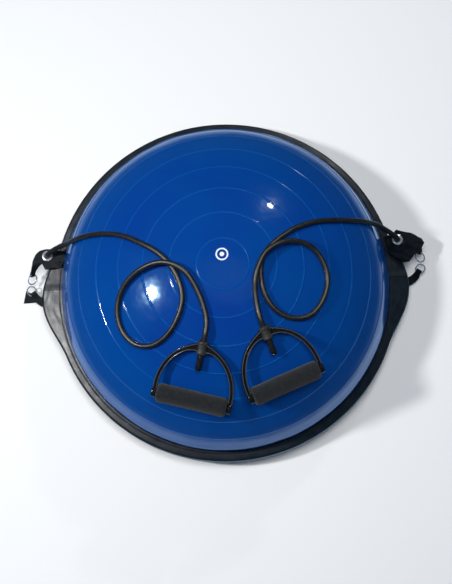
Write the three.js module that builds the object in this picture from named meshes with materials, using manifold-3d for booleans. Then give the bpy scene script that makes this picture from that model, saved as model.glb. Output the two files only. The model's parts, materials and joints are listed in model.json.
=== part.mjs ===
// Balance dome trainer: an air-filled PVC dome on a hard round platform, with a soft rim band that
// swells into a carrying ear at each side, and a resistance tube with a handle clipped to each ear.
// Millimetres. +Z is up, the origin is on the floor under the platform's centre, and the ears lie on X.
import * as THREE from 'three';
import { mergeVertices } from 'three/addons/utils/BufferGeometryUtils.js';
import Module from 'manifold-3d';

const wasm = await Module();
wasm.setup();

// ---- driving dimensions -------------------------------------------------------------------------
const GAP = 0.3;                   // play left between neighbouring pieces
const DOME_RADIUS = 281;           // widest radius of the dome's outer skin
const DOME_RISE = 195;             // apex above the rim band's top
const SKIN = 2.5;                  // dome skin thickness
const RIM_TOP = 44;                // top of the rim band above the floor
const RIM_BOTTOM = 10;             // lower edge of the rim band's wall
const RIM_RADIUS = 300;            // rim band away from the ears
const EAR_REACH = 21;              // how far an ear stands out past the rim
const EAR_HALF_ANGLE = THREE.MathUtils.degToRad(20.4);
const EAR_SHIFT = THREE.MathUtils.degToRad(-1.6);   // the ears sit slightly towards the user
const BAND_WALL = 4;               // rim band wall and flange thickness
const BAND_INNER = DOME_RADIUS + 1.2;
const FOOT_HEIGHT = 5;             // platform underside above the floor
const PLATE_RADIUS = 290;
const PLATE_TOP = 13;
const PLATE_LIP = 36;              // top of the platform's upstanding edge
const LIP_INNER = 286.5;
const BEAD_INNER = 269;            // inner edge of the bead turned in at the dome's foot
const BEAD_HEIGHT = 3.1;
const CLAMP_INNER = 254;
const CLAMP_TOP = 26;
const SCREW_CIRCLE = 262;
const SCREW_COUNT = 12;
const FOOT_COUNT = 6;
const FOOT_CIRCLE = 236;
const VALVE_Y = 120;               // the air valve's place on the underside
const ROUND_SIDES = 36;            // facets round the large turned pieces

const TUBE_RADIUS = 4.3;
const TUBE_BORE = 2.6;
const LAY = TUBE_RADIUS + 0.7;     // height of a lying tube's centre line over the dome
const STRAP_THICKNESS = 1.6;
const WIRE = 1.2;                  // wire radius of the rings
const SNAP_RADIUS = 9;             // centre line radius of the snap ring
const FOLD = WIRE + STRAP_THICKNESS / 2 + 0.9;   // centre line radius of webbing round a wire
const FOLD_SLACK = 0.35;           // how far a ring's wire sits back in its fold

const HUB_RADIUS = 8;
const HUB_HALF = 11;               // half length of the handle's hub
const PIVOT_BACK = HUB_HALF + 2.6; // the handle swings about the tube just behind the hub
const GRIP_OFFSET = 88;            // grip axis from the hub's centre
const GRIP_HALF = 57;
const FOAM_RADIUS = 15.5;
const CORE_RADIUS = 8;
const PIN_RADIUS = 5;
const BOW_HALF = 61;               // half width of the bow, at its centre line
const BOW_STRAP = 7;               // width of the bow's strap
const BOW_DEPTH = 9;               // its depth across the handle's plane
const TAIL_END = 36;               // end of the tube past the hub
const APPROACH = 10;               // straight run of tube before the handle's pivot

// Each side's tube: the lead that climbs from the eyelet to the dome, as x, y, z, and then its lay
// on the dome, as x, y and the lift over a tube that lies flat on the skin. The webbing's stations are
// x, y, z, the direction across the webbing, and its width.
const SIDES = {
  left: {
    eyelet: [-309, 68, 46],
    lead: [
      [-309, 68, 37], [-309, 68, 45], [-307.5, 68.5, 54], [-302, 70.5, 63], [-293, 73.5, 71],
      [-283, 76, 79], [-274, 77, 88], [-266, 77, 98.5],
    ],
    lay: [
      [-254, 76, 0], [-237, 75, 0], [-215, 73, 0], [-187, 68, 0], [-158, 58, 0], [-130, 42, 0],
      [-104, 24, 0], [-84, 2, 0], [-70, -26, 0], [-66, -54, 0], [-74, -81, 0], [-92, -107, 0],
      [-117, -121, 0], [-143, -118, 0], [-163, -99, 0], [-172, -71, 0], [-168, -42, 1], [-152, -17, 4],
      [-127, -1, 8], [-101, 5, 9.4], [-79, 0, 9.6], [-58, -15, 7], [-42, -42, 3], [-33, -67, 2],
      [-29, -89, 3],
    ],
    strap: [
      [-285, 60, 45.8, 0, 1, 0, 27], [-297, 64, 46, 0, 1, 0, 27], [-309, 68, 46, 0, 1, 0, 27],
      [-319.5, 66.5, 45.8, -0.3, 0.95, 0, 25], [-326.5, 60.5, 43.5, -0.65, 0.75, 0.1, 19],
      [-332, 52.5, 38.5, -0.8, 0.25, 0.4, 13], [-336.4, 43.4, 32.6, -0.78, -0.25, 0.57, 9],
      [-337, 38, 29, -0.75, -0.4, 0.6, 7],
    ],
    tab: [
      [-272, -12, 3.7, 0, 1, 0, 18], [-290, -12, 3.7, 0, 1, 0, 18], [-308, -11, 4.6, 0.1, 1, 0, 17],
      [-324, -7, 5.8, 0.5, 0.85, 0, 16], [-335, 1, 6.8, 0.8, 0.55, 0, 14], [-340, 9, 7.6, 0.95, 0.25, 0, 11],
    ],
    handle: { hub: [-37, -131, 225.2], grip: [-58, -208, 190] },
  },
  right: {
    eyelet: [304, 72, 46],
    lead: [
      [304, 72, 37], [304, 72, 45], [302.5, 72.8, 54], [297, 75.5, 63], [288.5, 79.5, 71.5],
      [279.5, 83, 80.5], [271, 85.5, 90.5], [263, 86.5, 101.5],
    ],
    lay: [
      [251, 86, 0], [233, 83, 0], [209, 79, 0], [180, 75, 0], [150, 69, 0], [119, 57, 0], [93, 40, 0],
      [73, 22, 0], [62, 2, 0], [59, -18, 0], [61, -40, 0], [70, -64, 0], [88, -82, 0], [113, -89, 0],
      [137, -82, 0], [157, -58, 0], [166, -25, 0], [158, 5, 1], [141, 25, 3], [115, 33, 6], [88, 27, 9],
      [68, 13, 9.6], [56, -8, 9.6], [50, -29, 7], [49, -50, 3.5], [51, -70, 3.5],
    ],
    strap: [
      [284, 66, 45.8, 0, 1, 0, 27], [293, 69, 46, 0, 1, 0, 27], [304, 72, 46, 0, 1, 0, 27],
      [316, 73, 46, 0, 1, 0, 27], [326, 72, 45, 0.15, 1, 0, 26], [335, 68, 43, 0.6, 0.8, 0, 22],
      [341, 59, 37, 0.8, 0.1, 0.5, 14], [342, 50, 31, 0.8, -0.35, 0.55, 7],
    ],
    tab: [
      [272, 0, 3.7, 0, 1, 0, 18], [290, 0, 3.7, 0, 1, 0, 18], [308, 1, 4.6, -0.1, 1, 0, 17],
      [325, 5, 5.8, -0.5, 0.85, 0, 16], [337, 13, 6.8, -0.8, 0.55, 0, 14],
      [343, 22, 7.6, -0.95, 0.25, 0, 11],
    ],
    handle: { hub: [63, -111.5, 227.9], grip: [91, -186, 196.7] },
  },
};

// ---- materials ----------------------------------------------------------------------------------
function finish(color, roughness, metalness = 0) {
  return new THREE.MeshStandardMaterial({ color, roughness, metalness });
}

const BLUE_PVC = finish('#0f479c', 0.12);
const BLACK_BAND = finish('#1d1f21', 0.35);
const PLATFORM_PLASTIC = finish('#1b1c1e', 0.5);
const TUBE_RUBBER = finish('#141516', 0.45);
const FOOT_RUBBER = finish('#101112', 0.8);
const WEBBING = finish('#0c0d0f', 0.85);
const CHROME = finish('#c9ccd0', 0.12, 1);
const STEEL = finish('#8f9396', 0.4, 1);
const BOW_PLASTIC = finish('#111214', 0.25);
const FOAM = finish('#18191b', 0.9);

// ---- solids -------------------------------------------------------------------------------------
function solidOf(geometry) {
  const bare = geometry.clone();
  bare.deleteAttribute('normal');
  bare.deleteAttribute('uv');
  const merged = mergeVertices(bare, 1e-4);
  const corners = [];
  const index = merged.getIndex().array;
  for (let i = 0; i < index.length; i += 3) {
    const [a, b, c] = [index[i], index[i + 1], index[i + 2]];
    if (a !== b && b !== c && c !== a) {
      corners.push(a, b, c);
    }
  }
  const vertProperties = new Float32Array(merged.getAttribute('position').array);
  const triVerts = new Uint32Array(corners);
  return new wasm.Manifold(new wasm.Mesh({ numProp: 3, vertProperties, triVerts }));
}

function geometryOf(solid) {
  const mesh = solid.getMesh();
  const geometry = new THREE.BufferGeometry();
  geometry.setAttribute('position', new THREE.BufferAttribute(new Float32Array(mesh.vertProperties), 3));
  geometry.setIndex(new THREE.BufferAttribute(new Uint32Array(mesh.triVerts), 1));
  geometry.computeVertexNormals();
  return geometry;
}

function join(...geometries) {
  return geometryOf(geometries.map(solidOf).reduce((whole, piece) => whole.add(piece)));
}

function cut(geometry, ...tools) {
  return geometryOf(tools.map(solidOf).reduce((whole, tool) => whole.subtract(tool), solidOf(geometry)));
}

// A profile of [radius, height] points turned about Z, anticlockwise in the r-z plane.
function turned(profile, segments) {
  const points = profile.map(([r, z]) => new THREE.Vector2(r, z));
  return new THREE.LatheGeometry(points, segments).rotateX(Math.PI / 2);
}

function turnedRing(profile, segments) {
  return turned([...profile, profile[0]], segments);
}

function post(radius, bottom, top, segments) {
  return turned([[0, bottom], [radius, bottom], [radius, top], [0, top]], segments);
}

function plate(outline, bottom, top) {
  const depth = top - bottom;
  return new THREE.ExtrudeGeometry(new THREE.Shape(outline), { depth, bevelEnabled: false, steps: 1 })
    .translate(0, 0, bottom);
}

function circleShape(radius, sides) {
  const outline = [];
  for (let i = 0; i < sides; i += 1) {
    const angle = (2 * Math.PI * i) / sides;
    outline.push(new THREE.Vector2(radius * Math.cos(angle), radius * Math.sin(angle)));
  }
  return new THREE.Shape(outline);
}

function rodAlong(points, radius, sides, steps) {
  const extrudePath = new THREE.CatmullRomCurve3(points, false, 'centripetal');
  return new THREE.ExtrudeGeometry(circleShape(radius, sides), { steps, extrudePath, bevelEnabled: false });
}

// A skin of quads between rings of corners; the rings run anticlockwise seen from the far end.
function loft(rings, closed) {
  const sides = rings[0].length;
  const positions = rings.flat().flatMap((point) => point.toArray());
  const triangles = [];
  const spans = closed ? rings.length : rings.length - 1;
  for (let i = 0; i < spans; i += 1) {
    const here = i * sides;
    const next = ((i + 1) % rings.length) * sides;
    for (let k = 0; k < sides; k += 1) {
      const along = (k + 1) % sides;
      triangles.push(here + k, here + along, next + along, here + k, next + along, next + k);
    }
  }
  if (!closed) {
    const last = (rings.length - 1) * sides;
    for (let k = 1; k < sides - 1; k += 1) {
      triangles.push(0, k + 1, k);
      triangles.push(last, last + k, last + k + 1);
    }
  }
  const geometry = new THREE.BufferGeometry();
  geometry.setAttribute('position', new THREE.Float32BufferAttribute(positions, 3));
  geometry.setIndex(triangles);
  geometry.computeVertexNormals();
  return geometry;
}

// A round wire round a closed flat outline of [x, y] points in the XY plane.
function wireLoop(outline, radius, sides) {
  const rings = outline.map(([x, y], i) => {
    const [beforeX, beforeY] = outline[(i + outline.length - 1) % outline.length];
    const [afterX, afterY] = outline[(i + 1) % outline.length];
    const outward = new THREE.Vector3(afterY - beforeY, beforeX - afterX, 0).normalize();
    const ring = [];
    for (let k = 0; k < sides; k += 1) {
      const angle = (-2 * Math.PI * k) / sides;
      const point = new THREE.Vector3(x, y, 0).addScaledVector(outward, radius * Math.cos(angle));
      ring.push(point.setZ(radius * Math.sin(angle)));
    }
    return ring;
  });
  return loft(rings, true);
}

// ---- webbing ------------------------------------------------------------------------------------
function directionsAt(stations, i) {
  const before = stations[Math.max(i - 1, 0)].at;
  const after = stations[Math.min(i + 1, stations.length - 1)].at;
  const along = after.clone().sub(before).normalize();
  const across = stations[i].across.clone();
  across.addScaledVector(along, -across.dot(along)).normalize();
  const normal = along.clone().cross(across);
  return { along, across, normal };
}

function ribbon(stations) {
  const rings = stations.map(({ at, width }, i) => {
    const { across, normal } = directionsAt(stations, i);
    const corner = (side, face) => at.clone()
      .addScaledVector(across, (side * width) / 2)
      .addScaledVector(normal, (face * STRAP_THICKNESS) / 2);
    return [corner(-1, -1), corner(1, -1), corner(1, 1), corner(-1, 1)];
  });
  return loft(rings, false);
}

// Webbing that runs along its stations, turns round a wire at the end and comes back beside itself
// for the last few of them, above (upward 1) or below (-1). Gives the geometry and the wire's place.
function foldedRibbon(rows, returned, upward) {
  const stations = rows.map(([x, y, z, ax, ay, az, width]) => (
    { at: new THREE.Vector3(x, y, z), across: new THREE.Vector3(ax, ay, az), width }
  ));
  const last = stations.length - 1;
  const { along, across, normal } = directionsAt(stations, last);
  const underside = Math.sign(directionsAt(stations, 0).normal.z) * upward;
  const under = normal.clone().multiplyScalar(underside);
  const centre = stations[last].at.clone().addScaledVector(under, FOLD);
  const path = [...stations];
  const turnSteps = 6;
  for (let i = 1; i <= turnSteps; i += 1) {
    const angle = (Math.PI * i) / turnSteps;
    const at = centre.clone()
      .addScaledVector(under, -FOLD * Math.cos(angle))
      .addScaledVector(along, FOLD * Math.sin(angle));
    path.push({ at, across, width: stations[last].width });
  }
  const closedSpacing = STRAP_THICKNESS + 2 * GAP;
  for (let i = last - 1; i >= last - returned; i -= 1) {
    const frame = directionsAt(stations, i);
    const at = stations[i].at.clone().addScaledVector(frame.normal, underside * closedSpacing);
    path.push({ at, across: stations[i].across, width: stations[i].width - 1 });
  }
  return { geometry: ribbon(path), centre, along, across };
}

// ---- the shared skeleton ------------------------------------------------------------------------
const trainer = new THREE.Group();

function addPart(parent, name, geometry, material) {
  const mesh = new THREE.Mesh(geometry, material);
  mesh.name = name;
  parent.add(mesh);
  return mesh;
}

// A group whose own X, Y and Z lie along the given directions, X and Y being squared up first.
function placed(parent, origin, xDirection, yDirection) {
  const x = xDirection.clone().normalize();
  const z = x.clone().cross(yDirection).normalize();
  const y = z.clone().cross(x);
  const group = new THREE.Group();
  group.quaternion.setFromRotationMatrix(new THREE.Matrix4().makeBasis(x, y, z));
  group.position.copy(origin);
  parent.add(group);
  return group;
}

// ---- dome ---------------------------------------------------------------------------------------
function domeProfile() {
  const steps = 11;
  const outer = [];
  const inner = [];
  for (let i = 0; i <= steps; i += 1) {
    const angle = (Math.PI / 2) * (i / steps);
    outer.push([DOME_RADIUS * Math.cos(angle), RIM_TOP + DOME_RISE * Math.sin(angle)]);
    inner.push([(DOME_RADIUS - SKIN) * Math.cos(angle), RIM_TOP + (DOME_RISE - SKIN) * Math.sin(angle)]);
  }
  outer[steps][0] = 0;
  inner[steps][0] = 0;
  const foot = PLATE_TOP + GAP;
  return [
    ...inner.reverse(),
    [DOME_RADIUS - SKIN, foot + BEAD_HEIGHT],
    [BEAD_INNER, foot + BEAD_HEIGHT],
    [BEAD_INNER, foot],
    [DOME_RADIUS, foot],
    ...outer,
  ];
}

function domeHeight(x, y, offset) {
  const radial = Math.hypot(x, y) / (DOME_RADIUS + offset);
  return RIM_TOP + (DOME_RISE + offset) * Math.sqrt(1 - radial * radial);
}

addPart(trainer, 'dome_skin', turned(domeProfile(), ROUND_SIDES), BLUE_PVC);

// ---- platform -----------------------------------------------------------------------------------
function aroundCircle(count, radius, offset, place) {
  for (let i = 0; i < count; i += 1) {
    const angle = offset + (2 * Math.PI * i) / count;
    place(radius * Math.cos(angle), radius * Math.sin(angle), i + 1);
  }
}

const SCREW_HEAD = 5;
const SCREW_SHANK = 2;
const SCREW_SIDES = 6;
const COUNTERBORE = 3;
const SCREW_OFFSET = Math.PI / SCREW_COUNT;
const ANCHOR_SCREW_X = 280;
const ANCHOR_DEPTH = 7;            // how far an anchor screw's hole runs into the platform
const CLEAR = 15;                  // how far a cutting tool runs past the piece it cuts
const VALVE_HOLE = 13;
const VALVE_BORE = 4.6;
const VALVE_SIDES = 16;

function platformPlate() {
  const disc = turned([
    [0, FOOT_HEIGHT], [PLATE_RADIUS, FOOT_HEIGHT], [PLATE_RADIUS, PLATE_LIP], [LIP_INNER, PLATE_LIP],
    [LIP_INNER, PLATE_TOP], [0, PLATE_TOP],
  ], ROUND_SIDES);
  const holes = [post(VALVE_HOLE, 0, PLATE_TOP + CLEAR, VALVE_SIDES).translate(0, VALVE_Y, 0)];
  aroundCircle(SCREW_COUNT, SCREW_CIRCLE, SCREW_OFFSET, (x, y) => {
    holes.push(post(SCREW_HEAD + 1, 0, FOOT_HEIGHT + COUNTERBORE, SCREW_SIDES).translate(x, y, 0));
    holes.push(post(SCREW_SHANK + GAP, 0, PLATE_TOP + CLEAR, SCREW_SIDES).translate(x, y, 0));
  });
  for (const { tab } of Object.values(SIDES)) {
    const [, y] = tab[0];
    const x = Math.sign(tab[0][0]) * ANCHOR_SCREW_X;
    holes.push(post(SCREW_SHANK + GAP, 0, FOOT_HEIGHT + ANCHOR_DEPTH, SCREW_SIDES).translate(x, y, 0));
  }
  return cut(disc, ...holes);
}

function clampRing() {
  const base = PLATE_TOP + GAP;
  const ledge = base + BEAD_HEIGHT + GAP;
  const lipOuter = DOME_RADIUS - SKIN - 0.8;
  const ring = turnedRing([
    [CLAMP_INNER, base], [BEAD_INNER - 0.6, base], [BEAD_INNER - 0.6, ledge], [lipOuter, ledge],
    [lipOuter, CLAMP_TOP], [CLAMP_INNER, CLAMP_TOP],
  ], ROUND_SIDES);
  const holes = [];
  aroundCircle(SCREW_COUNT, SCREW_CIRCLE, SCREW_OFFSET, (x, y) => {
    holes.push(post(SCREW_SHANK + GAP, 0, CLAMP_TOP - 2, SCREW_SIDES).translate(x, y, 0));
  });
  return cut(ring, ...holes);
}

function screw(headBottom, headHeight, tip) {
  const shoulder = headBottom + headHeight;
  return turned([
    [0, headBottom], [SCREW_HEAD - 1, headBottom], [SCREW_HEAD, headBottom + 1], [SCREW_HEAD, shoulder],
    [SCREW_SHANK, shoulder], [SCREW_SHANK, tip - SCREW_SHANK], [0, tip],
  ], SCREW_SIDES);
}

function foot() {
  const radius = 15;
  const bevel = 1.5;
  const top = FOOT_HEIGHT - GAP;
  return turned([[0, 0], [radius - bevel, 0], [radius, bevel], [radius, top], [0, top]], 12);
}

// A rubber bush with a flange under the platform and a barbed lip over it, bored for the plug.
function valveSeat() {
  const neck = VALVE_HOLE - 0.4;
  const flange = 17;
  const under = FOOT_HEIGHT - GAP;
  const inner = PLATE_TOP + GAP;
  const lip = 3;
  return turnedRing([
    [VALVE_BORE, FOOT_HEIGHT - 1], [flange, FOOT_HEIGHT - 1], [flange, under], [neck, under],
    [neck, inner], [flange - 1, inner], [flange - lip, inner + lip], [VALVE_BORE, inner + lip],
  ], VALVE_SIDES);
}

function valvePlug() {
  const head = FOOT_HEIGHT - 1 - GAP;
  const headRadius = 9;
  const tip = PLATE_TOP + 2;
  return turned([
    [0, head - 2], [headRadius - 1, head - 2], [headRadius, head - 1], [headRadius, head],
    [VALVE_BORE - 0.4, head], [VALVE_BORE - 1, tip], [0, tip],
  ], VALVE_SIDES);
}

addPart(trainer, 'platform_plate', platformPlate(), PLATFORM_PLASTIC);
addPart(trainer, 'clamp_ring', clampRing(), PLATFORM_PLASTIC);
aroundCircle(SCREW_COUNT, SCREW_CIRCLE, SCREW_OFFSET, (x, y, number) => {
  const sunk = screw(FOOT_HEIGHT + 0.6, 2.1, CLAMP_TOP - 4);
  addPart(trainer, `clamp_screw_${number}`, sunk, STEEL).position.set(x, y, 0);
});
aroundCircle(FOOT_COUNT, FOOT_CIRCLE, Math.PI / FOOT_COUNT, (x, y, number) => {
  addPart(trainer, `foot_${number}`, foot(), FOOT_RUBBER).position.set(x, y, 0);
});
addPart(trainer, 'valve_seat', valveSeat(), FOOT_RUBBER).position.set(0, VALVE_Y, 0);
addPart(trainer, 'valve_plug', valvePlug(), FOOT_RUBBER).position.set(0, VALVE_Y, 0);

// ---- rim band with its ears ---------------------------------------------------------------------
function rimRadius(angle) {
  const fromRight = Math.atan2(Math.sin(angle), Math.cos(angle)) - EAR_SHIFT;
  const mirrored = Math.PI - angle;
  const fromLeft = Math.atan2(Math.sin(mirrored), Math.cos(mirrored)) - EAR_SHIFT;
  const nearest = Math.min(Math.abs(fromRight), Math.abs(fromLeft));
  if (nearest > EAR_HALF_ANGLE) {
    return RIM_RADIUS;
  }
  return RIM_RADIUS + (EAR_REACH / 2) * (1 + Math.cos((Math.PI * nearest) / EAR_HALF_ANGLE));
}

const LEG_DEPTH = 16;              // how far the band's inner leg reaches down inside the platform's edge

// Half of the band: an inverted channel pressed over the platform's edge, whose outer wall and top
// swing out at the ears and leave a hand hold open from below.
function halfBand(start) {
  const seam = 0.001;              // keeps the two halves' end faces apart
  const steps = 34;
  const ringOf = (inner, outer) => {
    const outline = [];
    for (let i = 0; i <= steps; i += 1) {
      const angle = start + seam + ((Math.PI - 2 * seam) * i) / steps;
      outline.push(new THREE.Vector2(outer(angle) * Math.cos(angle), outer(angle) * Math.sin(angle)));
    }
    for (let i = steps; i >= 0; i -= 1) {
      const angle = start + seam + ((Math.PI - 2 * seam) * i) / steps;
      outline.push(new THREE.Vector2(inner(angle) * Math.cos(angle), inner(angle) * Math.sin(angle)));
    }
    return outline;
  };
  const flange = plate(ringOf(() => BAND_INNER, rimRadius), RIM_TOP - BAND_WALL, RIM_TOP);
  const wall = plate(ringOf((a) => rimRadius(a) - BAND_WALL, rimRadius), RIM_BOTTOM, RIM_TOP - 1);
  const leg = plate(ringOf(() => BAND_INNER, () => LIP_INNER - 2), RIM_TOP - LEG_DEPTH, RIM_TOP - 1);
  return join(flange, wall, leg);
}

addPart(trainer, 'rim_band_rear', halfBand(0), BLACK_BAND);
addPart(trainer, 'rim_band_front', halfBand(Math.PI), BLACK_BAND);

// ---- tube connectors at the ears ----------------------------------------------------------------
const EYELET_BORE = 5;
const EYELET_NECK = 6.5;           // outside of the barrel that passes through the webbing
const EYELET_FLANGE = 10;
const WIRE_SIDES = 6;

function eyelet() {
  const face = STRAP_THICKNESS / 2 + GAP;
  const rim = face + 0.6;
  return turnedRing([
    [EYELET_BORE, -face - 1], [EYELET_FLANGE, -rim], [EYELET_FLANGE, -face], [EYELET_NECK, -face],
    [EYELET_NECK, face], [EYELET_FLANGE, face], [EYELET_FLANGE, rim], [EYELET_BORE, face + 1.2],
  ], 16);
}

// A barrel of rubber pushed on to the tube's end, which can't pass up through the eyelet.
function tubeStop() {
  const radius = 7;
  const length = 11;
  const edge = 1;
  return turned([
    [0, -length], [radius - edge, -length], [radius, -length + 2 * edge], [radius, -edge],
    [radius - edge, 0], [0, 0],
  ], 16);
}

// The D-ring's straight bar lies along X through the tab's fold, and its arch stands up along Y.
function dRing() {
  const half = 7.5;
  const corner = 1.5;
  const archFoot = 6;
  const archRise = 7.5;
  const archSteps = 8;
  const outline = [[-half, 1], [-half + corner, 0], [half - corner, 0], [half, 1]];
  for (let i = 0; i <= archSteps; i += 1) {
    const angle = (Math.PI * i) / archSteps;
    outline.push([half * Math.cos(angle), archFoot + archRise * Math.sin(angle)]);
  }
  return wireLoop(outline, WIRE, WIRE_SIDES);
}

// The ring lies in its XY plane with the webbing at -Y; the gate closes the side at +X, hinges at
// its upper end and swings in between the open ends.
const GATE_START = THREE.MathUtils.degToRad(-28);
const GATE_END = THREE.MathUtils.degToRad(38);
const GATE_HINGE_PLAY = 0.06;
const GATE_TIP_PLAY = 0.14;

function arcRod(from, to, radius, steps) {
  const points = [];
  for (let i = 0; i <= steps; i += 1) {
    const angle = from + ((to - from) * i) / steps;
    points.push(new THREE.Vector3(SNAP_RADIUS * Math.cos(angle), SNAP_RADIUS * Math.sin(angle), 0));
  }
  return rodAlong(points, radius, WIRE_SIDES, steps);
}

function addConnector(side, { eyelet: eyeletAt, lead, strap, tab }) {
  const strapFold = foldedRibbon(strap, 3, -1);
  const tabFold = foldedRibbon(tab, 3, 1);
  const hole = post(EYELET_NECK + GAP, -CLEAR, CLEAR, 16).translate(...eyeletAt);
  addPart(trainer, `${side}_strap`, cut(strapFold.geometry, hole), WEBBING);
  addPart(trainer, `${side}_eyelet`, eyelet(), CHROME).position.set(...eyeletAt);

  const [tubeEnd] = lead;
  const stop = addPart(trainer, `${side}_tube_stop`, tubeStop(), FOOT_RUBBER);
  stop.position.set(tubeEnd[0], tubeEnd[1], tubeEnd[2] - GAP);

  const snap = placed(
    trainer,
    strapFold.centre.clone().addScaledVector(strapFold.along, SNAP_RADIUS - FOLD_SLACK),
    strapFold.across.clone().multiplyScalar(side === 'left' ? 1 : -1),
    strapFold.along,
  );
  const ringStart = GATE_END + GATE_HINGE_PLAY;
  const ringEnd = GATE_START + 2 * Math.PI - GATE_TIP_PLAY;
  addPart(snap, `${side}_snap_ring`, arcRod(ringStart, ringEnd, WIRE, 18), CHROME);
  addPart(snap, `${side}_snap_gate`, arcRod(GATE_START, GATE_END, 0.8 * WIRE, 4), CHROME);

  const [screwX, screwY] = [Math.sign(tab[0][0]) * ANCHOR_SCREW_X, tab[0][1]];
  const tabHole = post(SCREW_SHANK + GAP, -1, FOOT_HEIGHT + 1, SCREW_SIDES).translate(screwX, screwY, 0);
  addPart(trainer, `${side}_anchor_tab`, cut(tabFold.geometry, tabHole), WEBBING);
  const anchorScrew = screw(0.6, 2, FOOT_HEIGHT + ANCHOR_DEPTH - 2);
  addPart(trainer, `${side}_anchor_screw`, anchorScrew, STEEL).position.set(screwX, screwY, 0);

  const linkDistance = 2 * SNAP_RADIUS - 2 * WIRE - 1;
  const link = strapFold.centre.clone().addScaledVector(strapFold.along, linkDistance);
  const ring = placed(trainer, tabFold.centre, tabFold.across, link.sub(tabFold.centre));
  addPart(ring, `${side}_d_ring`, dRing(), CHROME);
}

// ---- tubes and handles --------------------------------------------------------------------------
const toVector = ([x, y, z]) => new THREE.Vector3(x, y, z);

function handleFrame({ hub, grip }) {
  const origin = toVector(hub);
  const along = toVector(grip).sub(origin).normalize();
  const middle = toVector(hub).add(toVector(grip)).multiplyScalar(0.5);
  const upward = new THREE.Vector3(
    middle.x / DOME_RADIUS ** 2,
    middle.y / DOME_RADIUS ** 2,
    (middle.z - RIM_TOP) / DOME_RISE ** 2,
  ).normalize();
  return placed(trainer, origin, along.clone().cross(upward), along);
}

const CROWN_DROP = 76;             // from the hub's centre to where the bow's legs run straight
const BOSS_RADIUS = 9;
const PIN_LENGTH = 16;

// The bow in the handle's plane: half an ellipse whose crown passes the hub, with straight legs.
function bowPlate() {
  const steps = 14;
  const arch = (grow, direction) => {
    const points = [];
    for (let i = 0; i <= steps; i += 1) {
      const angle = (direction > 0 ? i : steps - i) * (Math.PI / steps);
      points.push(new THREE.Vector2(
        (BOW_HALF + grow) * Math.cos(angle),
        CROWN_DROP - (CROWN_DROP + grow) * Math.sin(angle),
      ));
    }
    return points;
  };
  const half = BOW_STRAP / 2;
  const outline = [
    new THREE.Vector2(BOW_HALF + half, GRIP_OFFSET),
    ...arch(half, 1),
    new THREE.Vector2(-BOW_HALF - half, GRIP_OFFSET),
    new THREE.Vector2(-BOW_HALF + half, GRIP_OFFSET),
    ...arch(-half, -1),
    new THREE.Vector2(BOW_HALF - half, GRIP_OFFSET),
  ];
  return plate(outline, -BOW_DEPTH / 2, BOW_DEPTH / 2);
}

const alongX = (geometry) => geometry.rotateY(Math.PI / 2);
const alongY = (geometry) => geometry.rotateX(-Math.PI / 2);

function bow() {
  const boreRadius = TUBE_RADIUS + 2 * GAP;
  const hub = alongY(turned([
    [0, -HUB_HALF], [boreRadius + 0.7, -HUB_HALF], [HUB_RADIUS, -HUB_HALF + 5], [HUB_RADIUS, HUB_HALF],
    [0, HUB_HALF],
  ], 16));
  const bore = alongY(post(boreRadius, -HUB_HALF - CLEAR, HUB_HALF + CLEAR, 12));
  const pieces = [bowPlate(), hub];
  for (const end of [-1, 1]) {
    const boss = alongX(post(BOSS_RADIUS, -BOW_STRAP / 2, BOW_STRAP / 2, 16));
    const pin = alongX(post(PIN_RADIUS, -PIN_LENGTH / 2, PIN_LENGTH / 2, 12));
    pieces.push(boss.translate(end * BOW_HALF, GRIP_OFFSET, 0));
    pieces.push(pin.translate(end * (BOW_HALF - PIN_LENGTH / 2), GRIP_OFFSET, 0));
  }
  return cut(join(...pieces), bore);
}

// A sleeve of foam with its end edges rounded off.
function foamGrip() {
  const round = 5;
  const roundSteps = 3;
  const bore = CORE_RADIUS + 2 * GAP;
  const profile = [[bore, -GRIP_HALF]];
  for (const end of [-1, 1]) {
    for (let i = 0; i <= roundSteps; i += 1) {
      const angle = (Math.PI / 2) * ((end < 0 ? i - roundSteps : i) / roundSteps);
      profile.push([
        FOAM_RADIUS - round + round * Math.cos(angle),
        end * (GRIP_HALF - round) + round * Math.sin(angle),
      ]);
    }
  }
  profile.push([bore, GRIP_HALF]);
  return alongX(turnedRing(profile, 16)).translate(0, GRIP_OFFSET, 0);
}

function gripCore() {
  const half = BOW_HALF - BOW_STRAP / 2 - 0.5;
  const inner = PIN_RADIUS + 2 * GAP;
  const profile = [[inner, -half], [CORE_RADIUS, -half], [CORE_RADIUS, half], [inner, half]];
  return alongX(turnedRing(profile, 12)).translate(0, GRIP_OFFSET, 0);
}

function tubeTail() {
  const start = -HUB_HALF + 1;
  return alongY(turnedRing([
    [TUBE_BORE, start], [TUBE_RADIUS, start], [TUBE_RADIUS, TAIL_END], [TUBE_BORE, TAIL_END],
  ], 12));
}

// A stopper whose stem swells the tube's end, so that the tube can't pull out of the hub.
function tailPlug() {
  const stem = TUBE_BORE - GAP;
  const tip = TAIL_END - 12;
  const face = TAIL_END + GAP;
  const top = face + 2;
  return alongY(turned([
    [0, tip], [stem - 0.7, tip], [stem, tip + 3], [stem, face], [TUBE_RADIUS + GAP, face],
    [TUBE_RADIUS - 0.5, top], [0, top],
  ], 12));
}

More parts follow.
